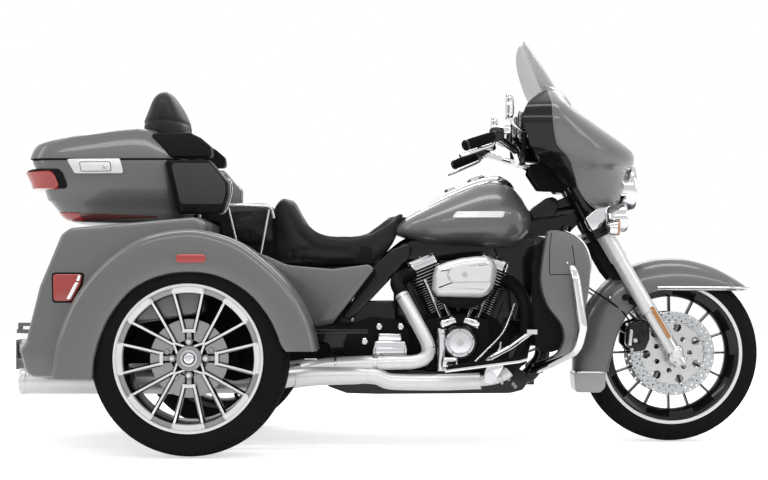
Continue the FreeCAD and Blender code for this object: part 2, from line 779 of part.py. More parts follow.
def fender_right():
    x, z = REAR_AXLE_X, REAR_TYRE_R
    ring = [(-FLARE_IN, FLARE_R - FLARE_WALL), (-FLARE_IN, FLARE_R)] + flare_section(0)
    ring += [(-(FLARE_OUT - 8), ARCH_R - 40), (-(FLARE_OUT - 8 - FLARE_WALL), ARCH_R - 40)]
    ring += list(reversed(flare_section(FLARE_WALL)))
    arch = spun(ring, x, z, 178.0, 2.0)
    rear = [(x - r, y, z + 6) for y, r in ring]
    tail = Part.Face(closed(rear)).extrude(V(0, 0, -(z + 6 - 264)))
    far, lip, near = -FLARE_OUT - 34, -FLARE_OUT + 46, -FLARE_IN + 26
    front_cut = box(x, x + 500, far, near, 200, z + 21)
    opening = rod((x, far, z), (x, lip, z), ARCH_R)
    foot = [
        (-ARCH_HALF, -125), (-ARCH_HALF, 5), (-ARCH_R, 25), (ARCH_R, 25), (ARCH_HALF, 5),
        (ARCH_HALF, -125),
    ]
    foot = prism([(x + a, z + b) for a, b in foot], far, lip)
    flare = joined([arch, tail]).cut(opening.fuse([foot, front_cut]))
    corner = prism(CORNER_OUTLINE, -CORNER_OUT, -FLARE_IN)
    corner = corner.cut(rod((x, far, z), (x, near, z), FLARE_R - FLARE_WALL))
    corner = corner.cut(prism([(x - 406, 200), (x - 406, z), (x - 46, z), (x - 46, 200)], far, near))
    corner = biggest(corner)
    return joined([flare, corner])


def side_cover_right():
    outline = [
        (-361, 634), (-335, 630), (-197, 618), (-69, 634), (-46, 623), (-197, 429), (-262, 419),
        (-270, 470), (-310, 560),
    ]
    return prism(outline, -SIDE_COVER_OUT, -SIDE_COVER_IN)


def rear_body():
    right = fender_right()
    save("fender_right", right)
    save("fender_left", mirrored(right))
    cover = side_cover_right()
    web = prism(
        [
            (-600 + SEAT_GAP, 560), (-600 + SEAT_GAP, 700), (-430, 668), (-340, 625), (-300, 560),
            (-262, 430), (-330, 440), (-420, 540),
        ],
        -SIDE_COVER_OUT,
        -SIDE_COVER_IN,
    )
    save("side_covers", pair(joined([cover, web])))
    tail_lamp = box(-1090, -1008, -CORNER_OUT - 12, -CORNER_OUT - SEAT_GAP, 515, 597)
    marker_z = REAR_TYRE_R + 309
    marker = box(-691, -591, -FLARE_OUT - 9, -FLARE_OUT + 10, marker_z, marker_z + 28)
    lamps = [tail_lamp.cut(right), marker.cut(right)]
    lamps = [biggest(lamp) for lamp in lamps]
    case_lamp = prism(CASE_LAMP_OUTLINE, -CASE_HALF + 30, -CASE_HALF + 66)
    lamps.append(biggest(case_lamp.cut(loft([rounded_plan(*row) for row in TUB_ROWS]))))
    save("rear_lamps", Part.makeCompound([solid for shape in lamps for solid in pair(shape).Solids]))


# ---------------------------------------------------------------- top case
CASE_LAMP_OUTLINE = [(-1268, 962), (-1252, 968), (-1180, 968), (-1166, 906), (-1240, 904), (-1262, 920)]


def case_section(share, rise, pull, wall, low):
    """Lid outline at one share of the half width: the top falls by rise and its back end moves in by pull."""
    y = share * (CASE_HALF - wall)
    ring = []
    for x, z in LID_OUTLINE:
        back = x < -1000
        end = 0.3 * pull if not back else -pull
        shift = wall if back else -wall
        height = LID_FLANGE_Z + (z - LID_FLANGE_Z) * rise if z > LID_FLANGE_Z else z
        ring.append((x - end + shift, y, max(height - wall, low + 1)))
    ring[0] = (ring[0][0], y, low)
    ring[-1] = (ring[-1][0], y, low)
    return closed(ring)


LID_LOW_Z = CASE_SEAM_Z + CASE_SEAM / 2
LID_FLANGE_Z = 1014.0
LID_OUTLINE = [
    (-1248, 1002.5), (-1226, 1032), (-1098, 1069), (-949, 1102), (-862, 1110), (-838, 1086),
    (-775, LID_FLANGE_Z), (-722, LID_FLANGE_Z), (-722, 1002.5),
]
# columns: share of the half width, share of the height, pull-in of the ends
LID_STEPS = [
    (-1.0, 0.16, 46), (-0.9, 0.62, 14), (-0.6, 0.93, 2), (0.0, 1.0, 0), (0.6, 0.93, 2), (0.9, 0.62, 14),
    (1.0, 0.16, 46),
]
# columns: z, rear x, front x, rear half width, front half width, corner radius
TUB_ROWS = [
    (788, -1080, -722, CASE_HALF - 78, CASE_HALF - 60, 70),
    (850, -1165, -722, CASE_HALF - 56, CASE_HALF - 30, 80),
    (CASE_SEAM_Z - CASE_SEAM / 2, -1238, -722, CASE_HALF - 12, CASE_HALF, 90),
]


def top_case(trunk_outer):
    w = CASE_WALL
    outer = loft([rounded_plan(*row) for row in TUB_ROWS])
    inner_rows = [
        (CASE_FLOOR_Z, -1084, -722 - w, CASE_HALF - 84, CASE_HALF - 64, 64),
        (850, -1165 + w, -722 - w, CASE_HALF - 56 - w, CASE_HALF - 30 - w, 76),
        (CASE_SEAM_Z, -1238 + w, -722 - w, CASE_HALF - 12 - w, CASE_HALF - w, 86),
    ]
    inner = loft([rounded_plan(*row) for row in inner_rows])
    legs = [
        prism([(-1000, 740), (-1000, 789), (-760, 789), (-760, 740)], y, y + 30).cut(trunk_outer)
        for y in (-180, 150)
    ]
    ears, leaves = [], []
    for x in LID_HINGE_XS:
        y, z = LID_HINGE_Y, CASE_SEAM_Z
        leaf = box(x - 14, x + 14, CASE_HALF - 6, y, z + 3, z + 7)
        leaf = leaf.fuse(rod((x - 14, y, z), (x + 14, y, z), 7))
        leaves.append(leaf.cut(rod((x - 20, y, z), (x + 20, y, z), LID_PIN_R + RUN)))
        ears.append(rod((x - 26, y, z), (x + 26, y, z), LID_PIN_R))
        for end in (x - 26, x + 15):
            ears.append(rod((end, y, z), (end + 11, y, z), 7))
            ears.append(box(end, end + 11, CASE_HALF - 16, y + 7, z - 16, z - 5))
    ears = [ear.cut(inner) for ear in ears]
    tub = joined([outer.cut(inner)] + [biggest(leg) for leg in legs] + ears)
    latch = box(-1110, -922, -CASE_HALF - 8, -CASE_HALF + 42, CASE_SEAM_Z - 48, CASE_SEAM_Z - 8).cut(outer)
    latch = max(latch.Solids, key=lambda solid: -solid.CenterOfMass.y)
    save("case_latch", latch)
    save("case_tub", tub)
    lid = loft([case_section(*row, 0.0, LID_LOW_Z) for row in LID_STEPS])
    hollow = loft([case_section(*row, w, LID_LOW_Z - 12) for row in LID_STEPS])
    save("case_lid", joined([biggest(lid.cut(hollow))] + leaves))
    backrest()
    pods = prism(
        [(-770, 820), (-770, 994), (-575, 994), (-548, 950), (-520, 900), (-540, 845), (-600, 820)],
        -CASE_HALF - 26,
        -RAIL_Y - RAIL_R - 3,
    )
    save("speaker_pods", pair(biggest(pods.cut(outer))))


def backrest():
    """Wrap-round pad on the lid's front flange, with an upright pad in its middle."""
    # columns: y, front x, share of the height
    side, bend, shoulder = CASE_HALF - 6, CASE_HALF - 40, CASE_HALF - 102
    half_rows = [(-side, -664, 0.72), (-bend, -622, 1.0), (-shoulder, -640, 1.0), (-110, -694, 1.0)]
    rows = half_rows + [(-y, front, share) for y, front, share in reversed(half_rows)]
    wires = []
    for y, front, share in rows:
        top = 1014.3 + 74 * share
        wires.append(
            closed(
                [
                    (-770, y, 1014.3), (-822, y, top), (front - 18, y, top), (front, y, top - 30),
                    (front - 6, y, 1014.3),
                ]
            )
        )
    wrap = loft(wires)
    upright = [
        (-832, 1088), (-862, 1114), (-878, 1128), (-837, 1226), (-807, 1258), (-765, 1236), (-716, 1120),
        (-708, 1088),
    ]
    wires = []
    for y, share in ((-150, 0.35), (-118, 0.85), (-60, 1.0), (60, 1.0), (118, 0.85), (150, 0.35)):
        wires.append(closed([(-770 + (x + 770) * share, y, 1088 + (z - 1088) * share) for x, z in upright]))
    save("backrest", joined([wrap, loft(wires)]))


# ---------------------------------------------------------------- rider's boards, guard and leg fairings
GUARD_PATH = [
    (585, -96, 600), (612, -330, 640), (628, -408, 612), (656, -412, 420), (640, -392, 345),
    (566, -240, 290), (520, -118, 262),
]


def rider_gear(chassis, powertrain):
    board = prism([(186, 266), (186, 276), (440, 308), (467, 314), (467, 306), (440, 298)], -432, -306)
    arm = joined(
        [
            rod((290, -320, 274), (290, -160, 274), 11),
            prism([(270, 262), (275, 284), (310, 289), (314, 262)], -330, -306),
        ]
    )
    rear_board = prism([(-266, 398), (-266, 420), (-72, 420), (-72, 398)], -368, -SIDE_COVER_OUT - SEAT_GAP)
    boards = [biggest(solid.cut(powertrain)) for solid in pair(joined([board, arm])).Solids]
    save("footboards", Part.makeCompound(boards + pair(rear_board).Solids))
    lever = tube([(340, -112, 224), (340, -286, 306), (420, -296, 350), (490, -330, 404)], 9, 40)
    pedal = joined([lever, box(470, 505, -372, -310, 396, 412)])
    save("foot_pedals", pair(biggest(pedal.cut(chassis))))
    guard = tube(GUARD_PATH, GUARD_R, 60)
    save("engine_guard", pair(biggest(guard.cut(chassis))))
    slot = tube(GUARD_PATH, GUARD_R + SEAT_GAP, 60)
    outer = prism(
        [
            (547, 747), (565, 751), (626, 729), (665, 690), (683, 637), (668, 500), (632, 360), (600, 331),
            (486, 291), (582, 339), (595, 383), (587, 427), (543, 484), (516, 576), (525, 659),
        ],
        -388,
        -330,
    )
    outer = biggest(outer.cut(slot))
    save("leg_fairings", pair(outer))
    inner = prism(
        [
            (505, 640), (520, 716), (548, 724), (584, 690), (622, 620), (636, 500), (600, 380), (560, 350),
            (520, 360), (540, 420), (500, 520),
        ],
        -330 + SEAT_GAP,
        -196,
    )
    inner = biggest(inner.cut(slot))
    save("leg_fairing_inners", pair(inner))


# ---------------------------------------------------------------- fork, front fender and brakes
def fork():
    low = FRONT_TYRE_R - 26
    slider = rod((fork_x(low), -FORK_Y, low), (fork_x(668), -FORK_Y, 668), FORK_R)
    shroud = rod(
        (fork_x(668), -FORK_Y, 668),
        (fork_x(LOWER_YOKE_Z - 24), -FORK_Y, LOWER_YOKE_Z - 24),
        FORK_R + 3,
    )
    leg = joined([slider, shroud])
    axle_bar = rod((FRONT_AXLE_X, -164, FRONT_TYRE_R), (FRONT_AXLE_X, 164, FRONT_TYRE_R), FRONT_BORE_R)
    save("fork_legs", joined([leg, mirrored(leg), axle_bar]))
    pieces = []
    lean = V(-math.sin(math.radians(RAKE)), 0, math.cos(math.radians(RAKE)))
    for z, thick in ((LOWER_YOKE_Z, 34), (UPPER_YOKE_Z, 24)):
        plate = Part.makeBox(110, 2 * FORK_Y + 84, thick, V(-50, -FORK_Y - 42, -thick / 2))
        plate = plate.makeFillet(30, [e for e in plate.Edges if abs(e.Vertexes[0].Z - e.Vertexes[1].Z) > 1])
        plate.rotate(V(0, 0, 0), V(0, 1, 0), -RAKE)
        plate.translate(V(steer_x(z), 0, z))
        pieces.append(plate)
    pieces.append(
        rod((steer_x(LOWER_YOKE_Z), 0, LOWER_YOKE_Z), (steer_x(UPPER_YOKE_Z), 0, UPPER_YOKE_Z), STEM_R)
    )
    for y in (-FORK_Y, FORK_Y):
        pieces.append(
            rod(
                (fork_x(LOWER_YOKE_Z - 24), y, LOWER_YOKE_Z - 24),
                (fork_x(FORK_TOP_Z), y, FORK_TOP_Z),
                FORK_R - 2,
            )
        )
    yokes = joined(pieces)
    save("fork_yokes", yokes)
    outline = [(-170, 33), (-164, 101), (-111, 127), (-82, 101), (-98, 11), (-144, 3)]
    caliper = prism([(FRONT_AXLE_X + a, FRONT_TYRE_R + b) for a, b in outline], -FORK_Y + 16, -FORK_Y + 60)
    slot = box(700, 1100, -DISC_Y - DISC_T - MOVE_GAP, -DISC_Y + MOVE_GAP, 100, 600).common(
        rod((FRONT_AXLE_X, -200, FRONT_TYRE_R), (FRONT_AXLE_X, -10, FRONT_TYRE_R), DISC_R + MOVE_GAP)
    )
    carrier_space = rod((FRONT_AXLE_X, -110, FRONT_TYRE_R), (FRONT_AXLE_X, -40, FRONT_TYRE_R), 118)
    leg_space = rod((fork_x(200), -FORK_Y, 200), (fork_x(700), -FORK_Y, 700), FORK_R + SEAT_GAP)
    caliper = caliper.cut(slot.fuse([carrier_space, leg_space]))
    save("brake_calipers", pair(biggest(caliper)))
    return yokes


# (x, z) from the axle: what lies inside this outline stays, for a fender of 346 radius
FENDER_KEEP = [
    (284, 229),
    (284, 401),
    (-416, 401),
    (-416, -159),
    (-236, -159),
    (-230, -71),
    (-220, -19),
    (-204, 53),
    (-176, 121),
    (-130, 181),
    (-62, 229),
]


def front_fender():
    x, z = FRONT_AXLE_X, FRONT_TYRE_R

    def section(inset):
        out, top, c = FENDER_HALF - inset, FENDER_R - inset, FENDER_CROWN - inset
        steps = [math.radians(22.5 * i) for i in range(5)]
        left = [((out - c) + c * math.sin(a), top - c + c * math.cos(a)) for a in steps]
        return left

    low = FRONT_TYRE_R - 129
    outer_half, inner_half = section(0.0), section(FENDER_WALL)
    ring = [(-y, r) for y, r in reversed(outer_half)] + outer_half + [
        (FENDER_HALF, low),
        (FENDER_HALF - FENDER_WALL, low),
    ]
    ring += list(reversed(inner_half)) + [(-y, r) for y, r in inner_half] + [
        (-(FENDER_HALF - FENDER_WALL), low),
        (-FENDER_HALF, low),
    ]
    hood = spun(ring, x, z, 142.0, 38.0)
    tail = Part.Face(closed([(x - r, y, z + 1) for y, r in ring])).extrude(V(-4, 0, -146))
    k = FENDER_R / 346
    keep = prism([(x + k * a, z + k * b) for a, b in FENDER_KEEP], -200, 200)
    shell = joined([hood, tail]).common(keep)
    legs = pair(rod((fork_x(400), -FORK_Y, 400), (fork_x(720), -FORK_Y, 720), FORK_R + SEAT_GAP))
    tab = box(x - 166, x - 124, -FORK_Y, -FENDER_HALF + FENDER_WALL, z + 221, z + 273)
    tabs = pair(tab.cut(legs)).Solids
    inner_tabs = [solid for solid in tabs if abs(solid.CenterOfMass.y) < FORK_Y]
    save("front_fender", joined([biggest(shell)] + inner_tabs))


# ---------------------------------------------------------------- fairing, screen, lamps and bars
# columns: z, front x, edge x, half width
FAIRING_ROWS = [
    (836, 820, 695, 190), (905, 850, 657, 226), (970, 874, 636, 275), (1022, 884, 600, 345),
    (1080, 826, 566, 385), (1130, 748, 560, 398), (1182, 664, 556, 380), (1224, 640, 551, 310),
    (1248, 616, 548, 240),
]
SCREEN_ROWS = [
    (1248.3, 612, 500, 236), (1290, 586, 462, 262), (1344, 550, 444, 240), (1392, 518, 456, 180),
    (1442, 485, 474, 84),
]


def fairing(yokes):
    outer = loft([crescent(z, xf, xe, w, 5.0) for z, xf, xe, w in FAIRING_ROWS])
    lamp_hole = rod((780, 0, 912), (950, 0, 912), 88 + SEAT_GAP)
    save("fairing_outer", outer.cut(lamp_hole))
    # columns: z, rear x in the middle, rear x at the cheeks
    rows = [
        (905, 640, 618), (970, 585, 560), (1022, 520, 498), (1080, 486, 470), (1130, 470, 452),
        (1182, 486, 470), (1224, 520, 512), (1248, 540, 536),
    ]
    wires = []
    for (z, mid, cheek), (_, xf, xe, w) in zip(rows, FAIRING_ROWS[1:]):
        half = w - 5
        front = Part.Arc(V(xe, -half, z), V(mid + 46, 0, z), V(xe, half, z)).toShape()
        back = Part.Arc(V(cheek, half - 36, z), V(mid, 0, z), V(cheek, -half + 36, z)).toShape()
        wires.append(
            Part.Wire(
                [
                    front,
                    Part.makeLine(V(xe, half, z), V(cheek, half - 36, z)),
                    back,
                    Part.makeLine(V(cheek, -half + 36, z), V(xe, -half, z)),
                ]
            )
        )
    inner = loft(wires)
    inner = inner.cut(box(300, 900, -176, 176, 800, 1046))
    lower = outer.fuse(rod((780, 0, 912), (812, 0, 912), 88 + SEAT_GAP))
    posts = [rod((645, y, 950), (545, y, 1065), 9) for y in (-100, 100)]
    inner = biggest(joined([biggest(inner.cut(lower))] + posts).cut(yokes))
    save("fairing_inner", inner)
    screen = loft([crescent(z, xf, xe, w, 4.0) for z, xf, xe, w in SCREEN_ROWS])
    save("windscreen", screen)
    shell = joined([rod((806, 0, 912), (876, 0, 912), 88), cone((876, 0, 912), (896, 0, 912), 88, 74)])
    save("headlamp", shell)
    return inner


def lamps_bar(yokes):
    bar = tube([(790, -262, 772), (800, -190, 775), (806, 0, 776), (800, 190, 775), (790, 262, 772)], 9, 60)
    brackets = [
        rod((steer_x(LOWER_YOKE_Z) + 40, y, LOWER_YOKE_Z + 18), (800, y, 775), 8)
        for y in (-60, 60)
    ]
    pods = []
    for y in (-190, 190):
        pods.append(cone((764, y, 800), (800, y, 800), 30, 50))
        pods.append(rod((800, y, 800), (836, y, 800), 50))
    signals = []
    for y in (-276, 276):
        signals += [cone((752, y, 762), (776, y, 762), 16, 27), rod((776, y, 762), (800, y, 762), 27)]
    save("light_bar", biggest(joined([bar] + brackets + pods + signals).cut(yokes)))


def bars(dash, yokes):
    path = [
        (468, 0, 1010), (462, -90, 1014), (440, -240, 1034), (372, -372, 1066), (345, -392, 1066),
        (262, -452, 1036),
    ]
    right = tube(path, BAR_R - 2, 40)
    riser = []
    for y in (-45, 45):
        riser.append(tube([(614, y, 940), (592, y, 990), (468, y, 1010)], 13, 20))
    lever = tube([(366, -376, 1066), (352, -398, 1040), (262, -476, 1004), (236, -492, 996)], 6, 30)
    save("handlebar", biggest(joined([right, mirrored(right), lever, mirrored(lever)] + riser).cut(yokes)))
    save("grips", pair(grip_sleeve()))
    mirror = prism([(400, 1130), (398, 1200), (412, 1212), (420, 1190), (418, 1130)], -432, -340)
    stem = rod((412, -386, 1132), (484, -336, 1090), 6)
    save("mirrors", pair(biggest(joined([mirror, stem]).cut(dash))))


def grip_sleeve():
    a, b = V(345, -392, 1066), V(262, -452, 1036)
    u = (b - a).normalize()
    start, end = a + u * 4, b + u * 6
    outer = Part.makeCylinder(GRIP_R, (end - start).Length, start, u)
    inner = Part.makeCylinder(BAR_R - 2 + 0.05, (b - start).Length + 0.05, start, u)
    return outer.cut(inner)


front_wheel()
rear_wheel("right", -1)
rear_wheel("left", 1)
trunk_block = trunk()
chassis_frame = frame(trunk_block)
engine_block, engine_barrels = engine()
engine_sides = engine_covers(engine_block, engine_barrels)
exhaust(chassis_frame, engine_barrels)
axle(chassis_frame)
tank()
seats(trunk_block)
rear_body()
top_case(trunk_block)
rider_gear(chassis_frame, engine_sides)
fork_clamps = fork()
front_fender()
instrument_shell = fairing(fork_clamps)
lamps_bar(fork_clamps)
bars(instrument_shell, fork_clamps)
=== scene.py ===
"""Finished looks of the motorized trike: shells, wheels, engine, soft goods, finishes, stage and camera.

Shape functions work in millimetres, +X forward, +Y to the rider's left, +Z up; piece() turns them into metres.
"""

import math

import bmesh
import bpy
import numpy as np
from mathutils import Matrix, Vector


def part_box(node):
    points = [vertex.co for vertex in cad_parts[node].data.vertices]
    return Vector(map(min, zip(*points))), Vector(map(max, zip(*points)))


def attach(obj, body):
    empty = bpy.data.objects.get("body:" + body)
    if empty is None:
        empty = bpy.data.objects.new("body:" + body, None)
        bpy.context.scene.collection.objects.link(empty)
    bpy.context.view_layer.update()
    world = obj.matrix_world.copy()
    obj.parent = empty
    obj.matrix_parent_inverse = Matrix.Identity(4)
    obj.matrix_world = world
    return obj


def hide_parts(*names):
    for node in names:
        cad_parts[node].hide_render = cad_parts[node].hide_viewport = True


bl_info = {
    "name": "Motorized trike",
    "version": (1, 0, 0),
    "blender": (4, 5, 0),
    "location": "View3D > Sidebar > Trike",
    "description": "Builds the finished pieces of a touring trike around its packed frame",
    "category": "Object",
}

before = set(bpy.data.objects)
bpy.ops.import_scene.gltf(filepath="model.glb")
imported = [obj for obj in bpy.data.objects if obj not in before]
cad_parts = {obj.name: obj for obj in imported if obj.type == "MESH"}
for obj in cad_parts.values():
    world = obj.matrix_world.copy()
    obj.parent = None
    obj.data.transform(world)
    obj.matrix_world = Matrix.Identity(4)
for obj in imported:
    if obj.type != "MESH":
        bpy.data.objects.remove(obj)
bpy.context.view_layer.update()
MM = 0.001


def middle(node):
    """Centre of a CAD node's box, in millimetres."""
    low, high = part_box(node)
    return (np.array(low) + np.array(high)) / 2 / MM


FRONT_HUB = middle("front_tyre")
REAR_HUB = middle("rear_tyre_right")
RIGHT, LEFT = -1, 1


# ---------------------------------------------------------------- curves
def open_curve(points, count):
    """Curve through all the points: each span is the cubic whose end slopes are half its neighbours' chord."""
    p = np.asarray(points, float)
    p = np.vstack([2 * p[0] - p[1], p, 2 * p[-1] - p[-2]])
    t = np.linspace(0, len(p) - 3, count)
    i = np.minimum(t.astype(int), len(p) - 4)
    return cubic(p[i], p[i + 1], p[i + 2], p[i + 3], (t - i)[:, None])


def closed_curve(points, count):
    """The same cubic spans, closed into a loop."""
    p = np.asarray(points, float)
    n = len(p)
    t = np.arange(count) * n / count
    i = t.astype(int)
    return cubic(p[i - 1], p[i % n], p[(i + 1) % n], p[(i + 2) % n], (t - i)[:, None])


def cubic(a, b, c, d, f):
    """Point at share f between b and c on the cubic that leaves b along c - a and reaches c along d - b."""
    return 0.5 * (2 * b + (c - a) * f + (2 * a - 5 * b + 4 * c - d) * f**2 + (3 * b - a - 3 * c + d) * f**3)


def even(curve, count, closed=False):
    """The curve's polyline, cut again into count points at even lengths."""
    p = np.vstack([curve, curve[:1]]) if closed else curve
    length = np.concatenate([[0], np.cumsum(np.linalg.norm(np.diff(p, axis=0), axis=1))])
    at = np.linspace(0, length[-1], count + 1)[:-1] if closed else np.linspace(0, length[-1], count)
    return np.stack([np.interp(at, length, p[:, k]) for k in range(p.shape[1])], 1)


def rounded(points, radius, steps=5):
    """Closed outline with arcs for corners: tangent points at radius * tan(half turn), and steps between."""
    p = np.asarray(points, float)
    before, after = p - np.roll(p, 1, 0), np.roll(p, -1, 0) - p
    la, lb = np.linalg.norm(before, axis=1), np.linalg.norm(after, axis=1)
    u, w = before / la[:, None], after / lb[:, None]
    half = np.arccos(np.clip((u * w).sum(1), -1, 1)) / 2
    reach = np.minimum(np.broadcast_to(radius, len(p)) * np.tan(half), 0.46 * np.minimum(la, lb))
    start, end = p - u * reach[:, None], p + w * reach[:, None]
    t = np.linspace(0, 1, steps)[None, :, None]
    curve = (1 - t) ** 2 * start[:, None] + 2 * t * (1 - t) * p[:, None] + t**2 * end[:, None]
    return curve.reshape(-1, p.shape[1])


def rounded_loop(points, radius, count):
    """The rounded outline, cut into count points at even lengths."""
    return even(rounded(points, radius), count, closed=True)


# ---------------------------------------------------------------- surfaces
def tube(path, radius, rows=60, sides=20, smooth=True):
    """Circle of the given radius (a number, or one per control point) along the path, without twist."""
    p = even(open_curve(path, rows * 4), rows) if smooth else even(np.asarray(path, float), rows)
    r = np.interp(np.linspace(0, 1, rows), np.linspace(0, 1, np.size(radius)), np.atleast_1d(radius))
    t = np.gradient(p, axis=0)
    t /= np.linalg.norm(t, axis=1)[:, None]
    side = np.cross(t[0], [0.3, 0.2, 1.0])
    normals = []
    for k in range(rows):
        side = side - t[k] * side.dot(t[k])
        side = side / np.linalg.norm(side)
        normals.append(side)
    n = np.array(normals)
    b = np.cross(t, n)
    a = np.linspace(0, 2 * math.pi, sides, endpoint=False)
    ring = np.cos(a)[None, :, None] * n[:, None] + np.sin(a)[None, :, None] * b[:, None]
    return p[:, None] + r[:, None, None] * ring


def lathe(profile, hub, sides=96):
    """(y, r) profile turned about the Y line through the hub; y is counted from the hub's own y."""
    q = np.asarray(profile, float)
    a = np.linspace(0, 2 * math.pi, sides, endpoint=False)
    x = hub[0] + q[:, 1:] * np.cos(a)
    z = hub[2] + q[:, 1:] * np.sin(a)
    return np.stack([x, np.broadcast_to(hub[1] + q[:, :1], x.shape), z], -1)


def slab(outline, rings):
    """Rings of one (x, z) outline: ring k is the outline moved in by rings[k][0], set at y = rings[k][1]."""
    o = np.asarray(outline, float)
    t = np.roll(o, -1, 0) - np.roll(o, 1, 0)
    n = np.stack([-t[:, 1], t[:, 0]], 1) / np.linalg.norm(t, axis=1)[:, None]
    turn = np.sign((o[:, 0] * np.roll(o[:, 1], -1) - np.roll(o[:, 0], -1) * o[:, 1]).sum())
    rows = [np.insert(o + n * turn * inset, 1, y, axis=1) for inset, y in rings]
    return np.array(rows)


def dome(depth0, depth1, reach, steps=6, edge=3.0):
    """Ring list for slab(): from the back face out to a front face with a quarter-round edge, reach wide."""
    a = np.linspace(0, math.pi / 2, steps)
    sign = math.copysign(1, depth1 - depth0)
    rise = min(edge, abs(depth1 - depth0))
    out = [(0.0, depth0), (0.0, depth1 - sign * rise)]
    out += [(reach * (1 - math.cos(k)), depth1 - sign * rise * (1 - math.sin(k))) for k in a[1:]]
    return out


def between(sections, rows):
    """Surface through a list of sections with equal point counts, smooth from one section to the next."""
    s = np.asarray(sections, float)
    flat = open_curve(s.reshape(len(s), -1), rows)
    return flat.reshape(rows, *s.shape[1:])


def outward(p, wrap_v=False):
    """Unit normal of a grid surface: the cross product of its two grid directions."""
    du = np.gradient(p, axis=0)
    dv = np.gradient(p, axis=1)
    if wrap_v:
        dv = (np.roll(p, -1, 1) - np.roll(p, 1, 1)) / 2
    n = np.cross(du, dv)
    return n / np.maximum(np.linalg.norm(n, axis=2), 1e-9)[..., None]


def turned(p, axis, degrees, about):
    """The points turned about a line: axis 'x', 'y' or 'z' through the point about."""
    m = np.array(Matrix.Rotation(math.radians(degrees), 3, axis.upper()))
    return (np.asarray(p, float) - about) @ m.T + about


def brick(centre, size, power=5.0, rows=20, sides=40):
    """Rounded block: the solid where |x|^n + |y|^n + |z|^n = 1, scaled to size; a larger n is squarer."""
    u = np.linspace(-math.pi / 2, math.pi / 2, rows)[:, None]
    v = np.linspace(0, 2 * math.pi, sides, endpoint=False)[None, :]
    d = np.stack([np.cos(u) * np.cos(v), np.cos(u) * np.sin(v), np.sin(u) + 0 * v], -1)
    r = (np.abs(d) ** power).sum(-1) ** (-1 / power)
    return np.asarray(centre, float) + d * r[..., None] * np.asarray(size, float) / 2


def rod(a, b, r, sides=20, edge=0.8):
    """Round bar from a to b with a small chamfer of width edge at both ends."""
    a, b = np.asarray(a, float), np.asarray(b, float)
    u = (b - a) / np.linalg.norm(b - a)
    side = np.cross(u, [0.31, 0.2, 0.9])
    side /= np.linalg.norm(side)
    up = np.cross(u, side)
    k = np.linspace(0, 2 * math.pi, sides, endpoint=False)
    ring = np.cos(k)[:, None] * side + np.sin(k)[:, None] * up
    stations = [(a, r - edge), (a + u * edge, r), (b - u * edge, r), (b, r - edge)]
    return np.array([c + ring * q for c, q in stations])


def screws(form, centres, normal, r=5.0, height=4.0, slot=0):
    """Hexagon heads on a surface: a chamfered six-sided bar at each centre, along the normal."""
    n = np.asarray(normal, float) / np.linalg.norm(normal)
    for c in np.atleast_2d(np.asarray(centres, float)):
        form.solid(rod(c - n * 1.0, c + n * height, r, sides=6, edge=1.0), slot)


def round_row(centre, radius, count, start=0.0):
    """Centres on a circle in the X-Z plane."""
    a = np.radians(start + 360.0 * np.arange(count) / count)
    return np.stack(
        [centre[0] + radius * np.cos(a), np.full(count, centre[1]), centre[2] + radius * np.sin(a)], 1,
    )


class Form:
    """Points and faces gathered from grids, in millimetres; slot numbers the finish of each part."""

    def __init__(self):
        self.points, self.faces, self.slots, self.count = [], [], [], 0

    def grid(self, p, wrap_u=False, wrap_v=False, cap=False, slot=0):
        """Quads between neighbouring points; cap closes the first and last row with one face each."""
        nu, nv = p.shape[:2]
        index = np.arange(nu * nv).reshape(nu, nv) + self.count
        ends = [index[0].tolist(), index[-1].tolist()]
        index = np.vstack([index, index[:1]]) if wrap_u else index
        index = np.hstack([index, index[:, :1]]) if wrap_v else index
        quads = np.stack([index[:-1, :-1], index[1:, :-1], index[1:, 1:], index[:-1, 1:]], -1).reshape(-1, 4)
        made = quads.tolist() + (ends if cap else [])
        self.faces += made
        self.slots += [slot] * len(made)
        self.points.append(p.reshape(-1, 3))
        self.count += nu * nv
        return self

    def sleeve(self, p, slot=0):
        """Grid joined round, open or drawn to a point at both ends."""
        return self.grid(p, wrap_v=True, slot=slot)

    def solid(self, p, slot=0):
        """Grid joined round and closed by a face at both ends."""
        return self.grid(p, wrap_v=True, cap=True, slot=slot)

    def ring(self, p, slot=0):
        """Grid joined both ways, as a section turned about an axle."""
        return self.grid(p, wrap_u=True, wrap_v=True, slot=slot)

    def plate(self, loop, back, front, reach, steps, edge, slot=0):
        """Closed slab of an (x, z) loop from y = back to y = front, with the rolled edge that dome() gives."""
        return self.solid(slab(loop, dome(back, front, reach, steps, edge)), slot)

    def shell(self, p, wall, slot=0, inner_slot=None):
        """Sheet of even thickness: the grid, a copy set in along its normals, and strips round the four edges."""
        q = p - outward(p) * wall
        inner = slot if inner_slot is None else inner_slot
        self.grid(p, slot=slot)
        self.grid(q, slot=inner)
        for edge in ((p[0], q[0]), (p[-1], q[-1]), (p[:, 0], q[:, 0]), (p[:, -1], q[:, -1])):
            self.grid(np.array(edge), slot=slot)
        return self

    def both_sides(self):
        """Adds the mirror image across the trike's middle plane."""
        flip = np.array([1.0, -1.0, 1.0])
        self.points += [p * flip for p in self.points]
        self.faces += [[i + self.count for i in face] for face in self.faces]
        self.slots += self.slots
        self.count *= 2
        return self


